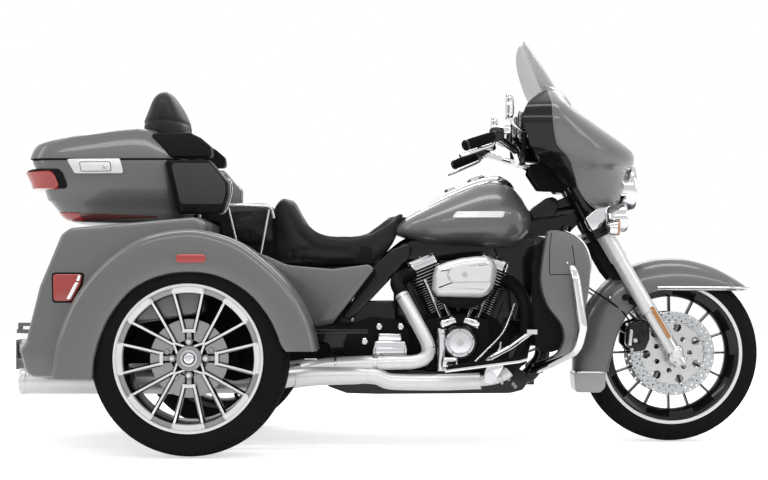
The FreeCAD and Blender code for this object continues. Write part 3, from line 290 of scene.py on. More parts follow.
def add_mesh(name, form, finishes):
    """New object from a form, its doubles merged and its faces turned outwards."""
    mesh = bpy.data.meshes.new(name)
    mesh.from_pydata((np.vstack(form.points) * MM).tolist(), [], form.faces)
    for finish in finishes:
        mesh.materials.append(finish)
    mesh.polygons.foreach_set("material_index", np.array(form.slots, np.int32))
    work = bmesh.new()
    work.from_mesh(mesh)
    bmesh.ops.remove_doubles(work, verts=work.verts, dist=1e-6)
    bmesh.ops.dissolve_degenerate(work, edges=work.edges, dist=1e-7)
    bmesh.ops.recalc_face_normals(work, faces=work.faces)
    work.to_mesh(mesh)
    work.free()
    obj = bpy.data.objects.new(name, mesh)
    bpy.context.scene.collection.objects.link(obj)
    return obj


def piece(name, form, body, finishes, replaces=(), sharp=38, levels=0, bevel=0.0):
    """Finished piece that rides on a body; replaces names the CAD nodes it stands for."""
    obj = add_mesh(name, form, finishes)
    obj.data.shade_smooth()
    obj.data.set_sharp_from_angle(angle=math.radians(sharp))
    if bevel:
        edge = obj.modifiers.new("edge", "BEVEL")
        edge.width, edge.segments, edge.limit_method = bevel * MM, 2, "ANGLE"
        edge.angle_limit = math.radians(50)
    if levels:
        soft = obj.modifiers.new("smooth", "SUBSURF")
        soft.levels = soft.render_levels = levels
    if replaces:
        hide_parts(*replaces)
    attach(obj, body)
    return obj


# ---------------------------------------------------------------- finishes
# columns: base colour, metal, roughness, coat, cells per metre, grain height mm, colour spread, roughness spread
FINISHES = {
    "paint": ("body", 0.10, 0.34, 0.5, 900, 0.0, 0.02, 0.03),
    "chrome": ((0.60, 0.605, 0.62), 1.0, 0.09, 0.0, 26, 0.0, 0.02, 0.05),
    "satin": ((0.46, 0.465, 0.47), 1.0, 0.27, 0.0, 60, 0.0, 0.02, 0.03),
    "bright": ((0.62, 0.625, 0.63), 0.40, 0.34, 0.0, 40, 0.0, 0.01, 0.03),
    "machined": ((0.62, 0.62, 0.63), 0.45, 0.34, 0.0, 40, 0.0, 0.01, 0.03),
    "steel": ((0.24, 0.24, 0.245), 1.0, 0.36, 0.0, 60, 0.0, 0.05, 0.05),
    "header": ((0.56, 0.55, 0.53), 0.8, 0.26, 0.0, 20, 0.0, 0.16, 0.12),
    "gloss_black": ((0.006, 0.006, 0.0065), 0.0, 0.22, 0.3, 60, 0.01, 0.15, 0.08),
    "cast_black": ((0.010, 0.010, 0.0105), 0.1, 0.48, 0.0, 520, 0.12, 0.25, 0.12),
    "plastic": ((0.011, 0.011, 0.0115), 0.0, 0.46, 0.0, 800, 0.06, 0.20, 0.10),
    # panel: lighter grey plastic, used only as painted light on the speaker pods' lit outer faces
    "panel": ((0.048, 0.048, 0.049), 0.0, 0.46, 0.0, 800, 0.06, 0.10, 0.10),
    "rubber": ((0.008, 0.008, 0.008), 0.0, 0.72, 0.0, 400, 0.08, 0.25, 0.10),
    "tyre": ((0.011, 0.011, 0.0112), 0.0, 0.66, 0.0, 300, 0.10, 0.30, 0.14),
    "grey": ((0.33, 0.335, 0.335), 0.0, 0.42, 0.2, 300, 0.03, 0.08, 0.08),
    "white": ((0.31, 0.31, 0.31), 0.0, 0.35, 0.3, 200, 0.0, 0.05, 0.05),
    "dial": ((0.020, 0.020, 0.022), 0.0, 0.25, 0.9, 120, 0.0, 0.10, 0.05),
    "red": ("lens", 0.0, 0.12, 0.7, 60, 0.0, 0.08, 0.05),
    "dark_red": ((0.075, 0.007, 0.006), 0.0, 0.20, 0.8, 60, 0.0, 0.10, 0.05),
    "amber": ("signal", 0.0, 0.14, 0.8, 60, 0.0, 0.06, 0.05),
    "thread": ((0.020, 0.020, 0.021), 0.0, 0.70, 0.0, 900, 0.10, 0.20, 0.08),
    "pad_cover": ("leather", 0.0, 0.42, 0.0, 330, 0.30, 0.22, 0.12),
}
# surface reflection of the darkest finishes
DARK_SHINE = {"tyre": 0.004, "rubber": 0.01, "cast_black": 0.03, "plastic": 0.04, "gloss_black": 0.12}


def tree_of(name):
    """New material with an empty node tree, its shader and its output."""
    made = bpy.data.materials.new(f"{name}_finish")
    made.use_nodes = True
    nodes = made.node_tree.nodes
    return made, made.node_tree, nodes["Principled BSDF"]


def noise(tree, scale, detail=3.0, kind="ShaderNodeTexNoise"):
    """Texture in the piece's own coordinates, scale cells to the metre."""
    place = tree.nodes.new("ShaderNodeTexCoord")
    made = tree.nodes.new(kind)
    made.inputs["Scale"].default_value = scale
    if kind == "ShaderNodeTexNoise":
        made.inputs["Detail"].default_value = detail
    tree.links.new(place.outputs["Object"], made.inputs["Vector"])
    return made


def spread(tree, source, low, high):
    """The source's 0 to 1 read as low to high."""
    made = tree.nodes.new("ShaderNodeMapRange")
    made.inputs["To Min"].default_value = low
    made.inputs["To Max"].default_value = high
    tree.links.new(source, made.inputs["Value"])
    return made.outputs["Result"]


def tinted(tree, colour, factor):
    """The colour times a grey factor."""
    made = tree.nodes.new("ShaderNodeMix")
    made.data_type, made.blend_type = "RGBA", "MULTIPLY"
    made.inputs["Factor"].default_value = 1.0
    made.inputs[6].default_value = (*colour, 1.0)
    tree.links.new(factor, made.inputs[7])
    return made.outputs[2]


def finish(name):
    """Procedural finish of that name, made once."""
    if f"{name}_finish" in bpy.data.materials:
        return bpy.data.materials[f"{name}_finish"]
    if name in SPECIAL:
        return SPECIAL[name](name)
    base, metal, rough, coat, cells, grain, hue, gloss = FINISHES[name]
    settings = bpy.context.scene.trike_finish
    colour = tuple(getattr(settings, base)) if isinstance(base, str) else base
    made, tree, shader = tree_of(name)
    slow, fine = noise(tree, 7.0), noise(tree, cells, 2.0)
    shader.inputs["Metallic"].default_value = metal
    shader.inputs["Coat Weight"].default_value = coat
    shader.inputs["Coat Roughness"].default_value = 0.03
    if metal < 0.5 and max(colour) < 0.05:
        shader.inputs["Specular IOR Level"].default_value = DARK_SHINE.get(name, 0.12)
    tree.links.new(
        tinted(tree, colour, spread(tree, slow.outputs["Fac"], 1 - hue, 1 + hue)), shader.inputs["Base Color"],
    )
    tree.links.new(
        spread(tree, fine.outputs["Fac"], max(0.02, rough - gloss), rough + gloss), shader.inputs["Roughness"],
    )
    if name == "pad_cover":
        fine = noise(tree, cells, kind="ShaderNodeTexVoronoi")
        fine.feature = "DISTANCE_TO_EDGE"
        shader.inputs["Sheen Weight"].default_value = 0.03
    if grain:
        bump = tree.nodes.new("ShaderNodeBump")
        bump.inputs["Distance"].default_value = grain * MM
        bump.inputs["Strength"].default_value = 0.6
        tree.links.new(fine.outputs[0], bump.inputs["Height"])
        tree.links.new(bump.outputs["Normal"], shader.inputs["Normal"])
    return made


def clear_finish(name):
    """Clear moulded screen: thin, slightly grey, with faint haze that varies slowly."""
    made, tree, shader = tree_of(name)
    slow = noise(tree, 5.0)
    shader.inputs["Base Color"].default_value = (0.25, 0.255, 0.26, 1.0)
    shader.inputs["IOR"].default_value = 1.12
    shader.inputs["Alpha"].default_value = 0.36
    tree.links.new(spread(tree, slow.outputs["Fac"], 0.03, 0.08), shader.inputs["Roughness"])
    return made


def lamp_finish(name):
    """Lamp glass: bright reflector seen through a clear lens, ribbed by fine waves up the lens."""
    made, tree, shader = tree_of(name)
    waves = noise(tree, 36.0, kind="ShaderNodeTexWave")
    waves.bands_direction = "Z"
    shader.inputs["Metallic"].default_value = 0.55
    shader.inputs["Coat Weight"].default_value = 1.0
    shader.inputs["Emission Color"].default_value = (1.0, 0.98, 0.93, 1.0)
    shader.inputs["Emission Strength"].default_value = 0.12
    tree.links.new(
        tinted(tree, (0.92, 0.93, 0.94), spread(tree, waves.outputs["Fac"], 0.72, 1.0)),
        shader.inputs["Base Color"],
    )
    tree.links.new(spread(tree, waves.outputs["Fac"], 0.06, 0.22), shader.inputs["Roughness"])
    return made


def disc_finish(name):
    """Ground steel: a fine even grain in tone and roughness."""
    made, tree, shader = tree_of(name)
    fine = noise(tree, 240.0)
    shader.inputs["Metallic"].default_value = 1.0
    tree.links.new(
        tinted(tree, (0.40, 0.41, 0.42), spread(tree, fine.outputs["Fac"], 0.92, 1.04)),
        shader.inputs["Base Color"],
    )
    tree.links.new(spread(tree, fine.outputs["Fac"], 0.28, 0.36), shader.inputs["Roughness"])
    return made


SPECIAL = {"screen": clear_finish, "lamp": lamp_finish, "disc": disc_finish}


def finishes(*names):
    return [finish(name) for name in names]


# finish of each CAD node that stays in view
NODE_FINISH = {
    "frame": "gloss_black",
    "engine_case": "cast_black",
    "rear_axle": "cast_black",
    "grab_rails": "satin",
    "foot_pedals": "chrome",
    "engine_guard": "chrome",
    "fork_yokes": "gloss_black",
    "handlebar": "chrome",
    "trunk_shell": "paint",
    "trunk_door": "paint",
    "rear_fascia": "paint",
}


class FinishSettings(bpy.types.PropertyGroup):
    """Colours of the trike."""

    body: bpy.props.FloatVectorProperty(
        name="Body", description="Paint of tank, fenders, fairings and cases", subtype="COLOR", size=3, default=(
            0.104, 0.104, 0.103,
        )
    )
    leather: bpy.props.FloatVectorProperty(
        name="Seats", description="Cover of the seats and pads", subtype="COLOR", size=3, default=(
            0.013, 0.013, 0.0135,
        )
    )
    lens: bpy.props.FloatVectorProperty(
        name="Tail lamps", description="Red of the tail lamps and markers", subtype="COLOR", size=3, default=(
            0.33, 0.021, 0.017,
        )
    )
    signal: bpy.props.FloatVectorProperty(
        name="Signals", description="Amber of the signals and reflectors", subtype="COLOR", size=3, default=(
            0.36, 0.15, 0.03,
        )
    )


class SizeSettings(bpy.types.PropertyGroup):
    """Sizes of the added detail, in millimetres."""

    tread_depth: bpy.props.FloatProperty(
        name="Tread depth", description="Depth of the tyre grooves, mm", default=5.0, min=1.0, max=9.0,
    )
    fin_count: bpy.props.IntProperty(
        name="Fins", description="Cooling fins on each cylinder", default=12, min=6, max=18,
    )
    fin_edge: bpy.props.FloatProperty(
        name="Fin edge", description="Bright machined width of a fin's rim, mm", default=1.6, min=0.5, max=3.0,
    )
    swell: bpy.props.FloatProperty(
        name="Cushion swell", description="How far a cushion may swell, mm", default=9.0, min=2.0, max=20.0,
    )
    seam_r: bpy.props.FloatProperty(
        name="Piping", description="Radius of the piping on the seats, mm", default=2.2, min=1.0, max=5.0,
    )


class TRIKE_OT_nodes(bpy.types.Operator):
    """Finishes of the CAD nodes that stay in view"""

    bl_idname = "trike.nodes"
    bl_label = "Frame finishes"

    def execute(self, context):
        for node, name in NODE_FINISH.items():
            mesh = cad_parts[node].data
            mesh.materials.clear()
            mesh.materials.append(finish(name))
            mesh.shade_smooth()
            mesh.set_sharp_from_angle(angle=math.radians(35))
        return {"FINISHED"}


# ---------------------------------------------------------------- wheels
def polar(hub, r, degrees, y=None):
    """Point at radius r and angle from +X towards +Z, in the wheel's plane or at its own y."""
    a = np.radians(degrees)
    return np.array([hub[0] + r * np.cos(a), hub[1] if y is None else y, hub[2] + r * np.sin(a)])


def beam(form, path, face, root, depth, back=1.0, slots=(0, 1)):
    """Bar in a wheel's plane: face 2*face wide along the path, sides flaring to 2*root, depth deep in Y."""
    p = np.asarray(path, float)
    t = np.gradient(p, axis=0)
    side = np.stack([-t[:, 2], 0 * t[:, 0], t[:, 0]], 1)
    side /= np.linalg.norm(side, axis=1)[:, None]
    face, root = np.broadcast_to(face, len(p))[:, None], np.broadcast_to(root, len(p))[:, None]
    deep = np.array([0.0, back * depth, 0.0])
    mid = deep * 0.25
    front = np.stack([p + side * face, p - side * face], 1)
    rest = np.stack(
        [
            p - side * face, p - side * root + mid, p - side * root * 0.8 + deep, p + side * root * 0.8 + deep,
            p + side * root + mid, p + side * face,
        ],
        1,
    )
    form.grid(front, slot=slots[0])
    form.grid(rest, slot=slots[1])
    for end in (rest[0], rest[-1]):
        form.grid(np.array([end[:3], end[:2:-1]]), slot=slots[1])


def drilled(form, hub, r0, r1, y0, y1, count, rows, hole, turn=0.0, slot=0):
    """Flat ring made of cells: each cell's square edge is joined to the rim of its round hole, front and back."""
    k = np.radians(22.5 * np.arange(16) + 45)
    circle = np.stack([np.cos(k), np.sin(k)], 1)
    square = circle / np.abs(circle).max(1)[:, None]
    half_r, half_a = (r1 - r0) / rows / 2, math.pi / count
    for row in range(rows):
        mid = r0 + half_r * (2 * row + 1)
        for cell in range(count):
            at = math.radians(turn) + half_a * (2 * cell + row)
            loops = []
            for shape, y in ((1, y1), (1, y0), (0, y0), (0, y1), (1, y1)):
                r = mid + (half_r * square[:, 1] if shape else hole * circle[:, 1])
                a = at + (half_a * square[:, 0] if shape else hole * circle[:, 0] / mid)
                loops.append(np.stack([hub[0] + r * np.cos(a), np.full(16, y), hub[2] + r * np.sin(a)], 1))
            form.sleeve(np.array(loops[1:4] + [loops[4]]), slot)
    for r in (r0, r1):
        form.sleeve(lathe([(y0, r), (y1, r)], (hub[0], 0, hub[2]), 6 * count), slot)


def tyre_grid(hub, width, r_out, seat, crown, groove, depth):
    """Tyre section turned about the axle; groove(y, a) from 0 to 1 lowers the tread there by depth."""
    w = width / 2
    half = [
        (0.76, seat), (0.90, seat + 12), (0.965, seat + 0.30 * (r_out - seat)),
        (1.0, seat + 0.52 * (r_out - seat)),
    ]
    half += [
        (0.985, r_out - 1.9 * crown), (0.90, r_out - 1.05 * crown), (0.68, r_out - 0.42 * crown),
        (0.34, r_out - 0.1 * crown),
    ]
    right = [(-k * w, r) for k, r in half]
    control = right + [(0.0, r_out)] + [(-y, r) for y, r in reversed(right)]
    section = even(open_curve(control, 400), 72)
    a = np.linspace(0, 2 * math.pi, 420, endpoint=False)[None, :]
    y, r = section[:, :1] + 0 * a, section[:, 1:] + 0 * a
    share = np.clip((r - (r_out - 1.5 * crown)) / (0.3 * crown), 0, 1)
    r = r - depth * share * groove(y / w, a)
    outside = np.stack([hub[0] + r * np.cos(a), hub[1] + y, hub[2] + r * np.sin(a)], -1)
    inner = lathe([(0.76 * w, seat - 0.5), (-0.76 * w, seat - 0.5)], hub, 420)
    return np.vstack([outside, inner])


def wave(phase, share):
    """1 inside a repeated groove that takes that share of each period, with short slopes beside it."""
    far = np.abs(phase - np.round(phase))
    return np.clip((share / 2 - far) / 0.03 + 0.5, 0, 1)


def road_grooves(u, a):
    """Four grooves round the tyre, and slanted slots on its shoulders."""
    rings = wave(u * 2.4 + 0.5, 0.16)
    slots = wave(a * 34 / math.pi + np.abs(u) * 1.2, 0.16) * (np.abs(u) > 0.52)
    return np.maximum(rings * (np.abs(u) < 0.75), slots)


def cruiser_grooves(u, a):
    """Long slanted grooves from beside the middle to the shoulders, left and right half a pitch apart."""
    shift = np.where(u > 0, 0.5, 0.0)
    long = wave(a * 14 / math.pi + np.abs(u) * 1.9 + shift, 0.13) * (np.abs(u) > 0.12) * (np.abs(u) < 0.86)
    short = wave(a * 28 / math.pi - np.abs(u) * 0.8, 0.10) * (np.abs(u) > 0.55)
    return np.maximum(long, short)


class TRIKE_OT_tyres(bpy.types.Operator):
    """Tyres: a rounded section turned about the axle, its radius lowered where the groove waves run"""

    bl_idname = "trike.tyres"
    bl_label = "Tyres"

    def execute(self, context):
        depth = context.scene.trike_size.tread_depth
        table = (("front", FRONT_HUB, 130, 319, 241, 24, cruiser_grooves, "front_wheel"),)
        for side, name in ((RIGHT, "right"), (LEFT, "left")):
            hub = REAR_HUB * (1, -side, 1)
            table += ((name, hub, 215, 325, 228, 15, road_grooves, f"rear_wheel_{name}"),)
        for name, hub, width, r_out, seat, crown, groove, body in table:
            node = "front_tyre" if name == "front" else f"rear_tyre_{name}"
            form = Form().ring(tyre_grid(hub, width, r_out, seat, crown, groove, depth))
            piece(f"tread_{name}", form, body, finishes("tyre"), [node], sharp=28)
        return {"FINISHED"}


def rear_rim(hub, side):
    """Rear wheel: lip, eight rim pads, four U and four V pairs of spokes, hub, cap, nuts and brake disc."""
    form = Form()

    def y(out):
        """Y at a distance out from the wheel's middle plane."""
        return hub[1] + side * out

    def ring(profile, slot, sides=128):
        form.ring(lathe([(side * out, r) for out, r in profile], hub, sides), slot)

    def at(r, degrees, out):
        return polar(hub, r, degrees, y(out))

    ring([(104, 244), (104, 236), (101, 233), (94, 232), (90, 240), (96, 245)], 0)
    ring(
        [
            (94, 233), (90, 226), (60, 219), (-60, 214), (-98, 228), (-98, 243), (-104, 243), (-104, 225),
            (-64, 208), (60, 212), (88, 220),
        ],
        1,
    )
    for k in range(8):
        mid = 45.0 * k
        pad = np.linspace(-14.0, 14.0, 9)
        rows = [
            [at(r, mid + d * wide, out) for d in pad]
            for r, out, wide in ((233.5, 102, 1), (216, 100, 0.98), (214, 97, 0.98), (214, 78, 0.95))
        ]
        form.grid(np.array(rows))
        recess = np.linspace(14.0, 31.0, 7)
        rows = [
            [at(r, mid + d, out) for d in recess]
            for r, out in ((233.5, 99), (231, 94), (217, 92), (215, 84))
        ]
        form.grid(np.array(rows), slot=3)
        for d in (-14.0, 14.0):
            wall = [[at(233.5, mid + d, out) for out in (102, 84)], [at(214, mid + d, out) for out in (98, 84)]]
            form.grid(np.array(wall), slot=1)
    reach = np.linspace(0, 1, 8)
    for k in range(8):
        mid = 45.0 * k
        u_pair = k % 2 == 0
        inner_r, inner_half = (91, 10.5) if u_pair else (70, 3.5)
        for s in (-1, 1):
            a, b = at(inner_r, mid + s * inner_half, 74), at(226, mid + s * 12.4, 99)
            path = a + (b - a) * reach[:, None]
            path[:, 1] -= side * 9 * np.sin(math.pi * reach)
            beam(form, path, 3.6, 8.5, 42, -side)
        if u_pair:
            bridge = [at(91, mid + d, 74) for d in (-13.5, -6, 6, 13.5)]
            beam(form, bridge, 5.5, 8.0, 40, -side)
            beam(form, [at(87, mid, 72), at(46, mid, 66)], 7.5, 15, 36, -side, slots=(3, 1))
        else:
            for s in (-1, 1):
                beam(form, [at(72, mid, 74), at(40, mid + s * 27, 70)], 3.2, 7.5, 38, -side)
    ring([(72, 18), (74, 30), (73, 41), (66, 46), (30, 58), (-20, 62), (-44, 62), (-44, 22), (60, 18)], 3, 64)
    ring([(82, 0.5), (82, 15), (80, 18), (76, 22), (79, 24), (79, 27), (74, 29), (60, 29), (60, 0.5)], 2, 64)
    screws(form, [at(0.1, 0, 82)], (0, side, 0), 8, 4, 2)
    for k in range(8):
        centre = at(55, 45 * k + (0 if k % 2 == 0 else 22), 60)
        if k % 2 == 0:
            form.solid(rod(centre, centre + (0, side * 15, 0), 12, 24), 3)
            screws(form, [centre + (0, side * 15, 0)], (0, side, 0), 8.5, 9, 2)
    ring([(60, 128), (57, 129), (50, 129), (48, 128), (48, 60), (60, 60)], 4, 96)
    for k in range(5):
        screws(form, [at(76, 72 * k + 20, 60)], (0, side, 0), 10, 6, 4)
    return form


def front_rim(hub):
    """Front wheel: two lips, a dark well with eight wide and eight narrow pads, eight pairs of spokes."""
    form = Form()

    def ring(profile, slot, sides=128):
        form.ring(lathe(profile, hub, sides), slot)

    for s in (-1, 1):
        ring([(s * 63, 255), (s * 64, 250), (s * 62, 244), (s * 55, 241), (s * 50, 246), (s * 56, 255)], 0)
        for k in range(8):
            for start, stop, low in ((-11.5, 11.5, 212), (11.5, 33.5, 222)):
                d = np.linspace(start, stop, 8) + 10 + 45 * k
                rows = [
                    [polar(hub, r, a, s * out) for a in d]
                    for r, out in ((242, 60), (238, 56 if low < 220 else 59), (low, 46), (low - 3, 40))
                ]
                form.grid(np.array(rows), slot=1)
    ring(
        [
            (58, 242), (44, 220), (16, 208), (-16, 208), (-44, 220), (-58, 242), (-56, 236), (-40, 216),
            (-14, 203), (14, 203), (40, 216), (56, 236),
        ],
        1,
    )
    reach = np.linspace(0, 1, 6)
    for k in range(8):
        for s in (-1, 1):
            spread = 10 + 45 * k + s * 10
            a, b = polar(hub, 34, spread + s * 6, -16.0), polar(hub, 216, spread, -20.0)
            beam(form, a + (b - a) * reach[:, None], 2.2, 4.6, 36, 1, slots=(1, 1))
    ring([(-56, 14), (-56, 30), (-40, 34), (-18, 38), (18, 38), (40, 34), (56, 30), (56, 14)], 1, 64)
    return form


def front_disc(hub, side):
    """Brake disc: a drilled band on a carrier with seven large and seven small openings, and its rim rivets."""
    form = Form()
    y0, y1 = side * 80.0, side * 85.0
    drilled(form, hub, 113, 150, y0, y1, 34, 3, 3.4, slot=0)
    drilled(form, hub, 76, 112, y0 - side * 3, y1 - side * 3, 7, 1, 15.5, 28, 1)
    drilled(form, hub, 48, 76, y0 - side * 3, y1 - side * 3, 7, 1, 9.5, 2, 1)
    screws(form, round_row((hub[0], y1, hub[2]), 112, 14, 3), (0, side, 0), 4.5, 2.5, 2)
    form.ring(
        lathe(
            [
                (side * 58, 13), (side * 58, 46), (side * 76, 47), (side * 83, 50), (side * 83, 30),
                (side * 88, 26), (side * 88, 13),
            ],
            hub, 64,
        ),
        1,
    )
    screws(form, round_row((hub[0], side * 83, hub[2]), 39, 5, 10), (0, side, 0), 5, 4, 2)
    return form


class TRIKE_OT_wheels(bpy.types.Operator):
    """Wheels and front brake discs: bars with a narrow face on a wider root, and rings about the axle"""

    bl_idname = "trike.wheels"
    bl_label = "Wheels"

    def execute(self, context):
        for side, name in ((RIGHT, "right"), (LEFT, "left")):
            form = rear_rim(REAR_HUB * (1, -side, 1), side)
            looks = finishes("machined", "gloss_black", "chrome", "steel", "steel")
            piece(f"wheel_{name}", form, f"rear_wheel_{name}", looks, [f"rear_rim_{name}"])
        piece(
            "wheel_front", front_rim(FRONT_HUB), "front_wheel", finishes("machined", "gloss_black"),
            ["front_rim"],
        )
        discs = front_disc(FRONT_HUB, RIGHT).both_sides()
        piece("discs_front", discs, "front_wheel", finishes("disc", "satin", "chrome"), ["front_discs"])
        return {"FINISHED"}


# ---------------------------------------------------------------- rear body
FLARE_SIDE, FLARE_ROLL = 686.0, 30.0
# (x, z) down the outer edge of the rear fender, and down its wheel arch, both from the front end
FENDER_EDGE = [
    (-236, 350), (-246, 400), (-270, 470), (-305, 533), (-366, 608), (-475, 696), (-576, 736), (-664, 746),
    (-779, 726), (-874, 678), (-949, 614), (-1020, 522), (-1066, 420), (-1088, 330), (-1094, 262),
]
FENDER_ARCH = [
    (-336, 350), (-352, 372), (-366, 410), (-392, 462), (-441, 524), (-500, 568), (-566, 596), (-644, 606),
    (-722, 598), (-795, 572), (-852, 530), (-905, 460), (-938, 385), (-954, 320), (-958, 262),
]
CORNER = [
    (-606, 470), (-606, 772), (-640, 788), (-1046, 752), (-1076, 732), (-1148, 560), (-1194, 374), (-1214, 352),
    (-1206, 326), (-1192, 278), (-1172, 262), (-1000, 262), (-940, 420),
]
COVER = [
    (-598, 700), (-430, 668), (-361, 637), (-335, 632), (-197, 620), (-72, 636), (-50, 622), (-197, 429),
    (-258, 420), (-282, 470), (-330, 540), (-440, 620), (-598, 640),
]


def fender_grid():
    """Right fender: at each step along the edge, over the top, round the crown, down and round the lip."""
    edge, arch = even(open_curve(FENDER_EDGE, 300), 90), even(open_curve(FENDER_ARCH, 300), 90)
    down = arch - edge
    deep = np.linalg.norm(down, axis=1)
    down /= deep[:, None]
    a = np.linspace(0, math.pi / 2, 9)
    rows = []
    for o, w, d in zip(edge, down, deep):
        roll = min(FLARE_ROLL, 0.6 * d)
        reach = np.concatenate(
            [[0, 0, 0], roll * (1 - np.cos(a)), np.linspace(roll, d - 8, 7)[1:], [d - 3, d, d, d - 4]]
        )
        side = np.concatenate(
            [
                [426.5, 520, 600], FLARE_SIDE - roll * (1 - np.sin(a)),
                FLARE_SIDE + 3 * np.sin(np.linspace(0, math.pi, 7))[1:],
                [FLARE_SIDE - 2, FLARE_SIDE - 8, FLARE_SIDE - 20, FLARE_SIDE - 22],
            ]
        )
        rows.append(np.stack([o[0] + w[0] * reach, -side, o[1] + w[1] * reach], 1))
    return np.array(rows)


# (x, z) outline of the dark liner inside each rear fender
LINER = [
    (-990, 300), (-990, 420), (-940, 520), (-860, 590), (-740, 628), (-600, 624), (-480, 590), (-400, 520),
    (-345, 420), (-330, 340), (-420, 262), (-520, 240), (-640, 270), (-760, 300),
]


class TRIKE_OT_rear_body(bpy.types.Operator):
    """Rear fenders swept along their edge, rounded corner blocks behind them, and the side covers"""

    bl_idname = "trike.rear_body"
    bl_label = "Rear body"

    def execute(self, context):
        for side, name in ((RIGHT, "right"), (LEFT, "left")):
            flip = (1, -side, 1)
            form = Form().shell(fender_grid() * flip, side * -5.0, 0, 1)
            outline = rounded_loop(CORNER, 26, 160)
            rings = dome(side * 427, side * 602, 14, 7, 22)
            form.solid(slab(outline, rings))
            liner = rounded_loop(LINER, 20, 110)
            form.plate(liner, side * 426.5, side * 431, 1, 3, 2, 1)
            piece(
                f"rear_fender_{name}", form, "chassis", finishes("paint", "plastic"), [f"fender_{name}"],
                sharp=32,
            )
        outline = rounded_loop(COVER, 10, 140)
        cover = Form().plate(outline, -197, -263, 6, 6, 9)
        cover.both_sides()
        piece("side_panels", cover, "chassis", finishes("paint"), ["side_covers"], sharp=32)
        return {"FINISHED"}


class TRIKE_OT_rear_lamps(bpy.types.Operator):
    """Tail lamps with their clear strip, side markers, and the wrap-round lamps of the top case"""

    bl_idname = "trike.rear_lamps"
    bl_label = "Rear lamps"

    def execute(self, context):
        form = Form()
        tail = rounded_loop([(-1100, 600), (-1004, 600), (-1010, 566), (-1040, 512), (-1098, 512)], 10, 60)
        form.plate(tail, -601, -611, 3, 5, 4)
        bezel = rounded_loop([(-1106, 606), (-996, 606), (-1003, 564), (-1036, 506), (-1104, 506)], 12, 60)
        form.plate(bezel, -596, -604, 2, 4, 3, 2)
        for strip in (
            [(-1016, 597), (-1008, 597), (-1012, 578), (-1024, 578)],
            [(-1027, 573), (-1014, 573), (-1043, 518), (-1056, 518)],
        ):
            clear = rounded_loop(strip, 3, 40)
            form.plate(clear, -608, -613, 2, 4, 2, 1)
        marker = rounded_loop([(-688, 664), (-592, 664), (-592, 636), (-688, 636)], 12, 60)
        form.plate(marker, -676, -695, 5, 5, 5)
        form.both_sides()
        for low, high, ahead, reach, slot in ((899, 968, -1122, 3, 2), (896, 962, -1150, 8, 0)):

            def rounded_end(x, end=ahead):
                """Full height over most of the band, closing as a quarter circle over its last 16 mm."""
                return np.sqrt(1 - (1 - np.clip((end - x) / 16, 0, 1)) ** 2)

            form.grid(case_band(low, high, ahead, reach, rounded_end, 26 + reach), slot=slot)
        piece("tail_lamps", form, "chassis", finishes("red", "lamp", "plastic"), ["rear_lamps"])
        return {"FINISHED"}


# ---------------------------------------------------------------- top case
def plan_loop(x0, x1, half0, half1, radius, z, count=160):
    """Rounded four-sided loop in plan, at a height that may follow x."""
    loop = even(rounded([(x0, -half0), (x1, -half1), (x1, half1), (x0, half0)], radius, 9), count, closed=True)
    height = z(loop[:, 0]) if callable(z) else np.full(len(loop), z)
    return np.stack([loop[:, 0], loop[:, 1], height], 1)


# columns: z, rear x, front x, rear half width, front half width, corner radius
TUB_LEVELS = [
    (997.5, -1249, -722, 280, 292, 90), (990, -1250, -722, 281, 293, 90), (920, -1217, -722, 269, 284, 88),
    (862, -1200, -722, 262, 278, 84), (852, -1188, -722, 254, 270, 82), (820, -1162, -722, 246, 262, 80),
    (800, -1146, -722, 241, 256, 78), (790, -1136, -724, 236, 250, 76), (786, -1120, -730, 222, 238, 70),
]
# columns: share of the lid's height, inset, and how much more the rear end is set in
LID_LEVELS = [
    (0.0, 0, 0), (0.08, 0, 0), (0.30, 2, 2), (0.55, 5, 5), (0.72, 9, 7), (0.84, 15, 9), (0.90, 28, 10),
    (0.94, 56, 14), (0.97, 100, 24), (0.99, 165, 42), (1.0, 215, 50), (1.0, 262, 58),
]
LID_TOP = ((-1262, 50), (-1238, 58), (-1098, 88), (-949, 110), (-880, 116), (-842, 110), (-770, 66), (-722, 14))


def tub_loop(z, inset, count=160):
    """Plan loop of the tub at a height, drawn in by inset."""
    table = np.array(TUB_LEVELS)[::-1]
    x0, x1, h0, h1, r = (np.interp(z, table[:, 0], table[:, k]) for k in range(1, 6))
    return plan_loop(x0 + inset, x1 - inset, h0 - inset, h1 - inset, max(r - inset, 20), z, count)


def case_band(low, high, ahead, reach, share, push=0.0):
    """Raised band round the tub's rear; share and push (how far the rear stands out more) may follow x."""
    stack = np.array([np.roll(tub_loop(z, 0, 480), -240, axis=0) for z in np.linspace(low, high, 13)])
    base = stack[6]
    side = np.roll(base, -1, 0) - np.roll(base, 1, 0)
    normal = np.stack([side[:, 1], -side[:, 0], 0 * side[:, 0]], 1)
    normal *= np.sign((normal * (base - base.mean(0))).sum()) / np.linalg.norm(normal, axis=1)[:, None]
    x = base[:, 0]
    column = np.arange(len(x))
    far = push * np.clip((-1130 - x) / 90, 0, 1) ** 2
    rows = []
    for f, d in ((0, -3), (0, 0.5), (0.07, 1), (0.36, 1), (0.64, 1), (0.93, 1), (1, 0.5), (1, -3)):
        level = (0.5 + (f - 0.5) * share(x)) * 12
        k = np.minimum(level.astype(int), 11)
        rest = (level - k)[:, None]
        point = stack[k, column] * (1 - rest) + stack[k + 1, column] * rest
        rows.append(point + normal * (d if d < 0 else d * (reach + far[:, None])))
    return np.array(rows)[:, x < ahead]


def lid_height(x):
    return np.interp(x, [p[0] for p in LID_TOP], [p[1] for p in LID_TOP])


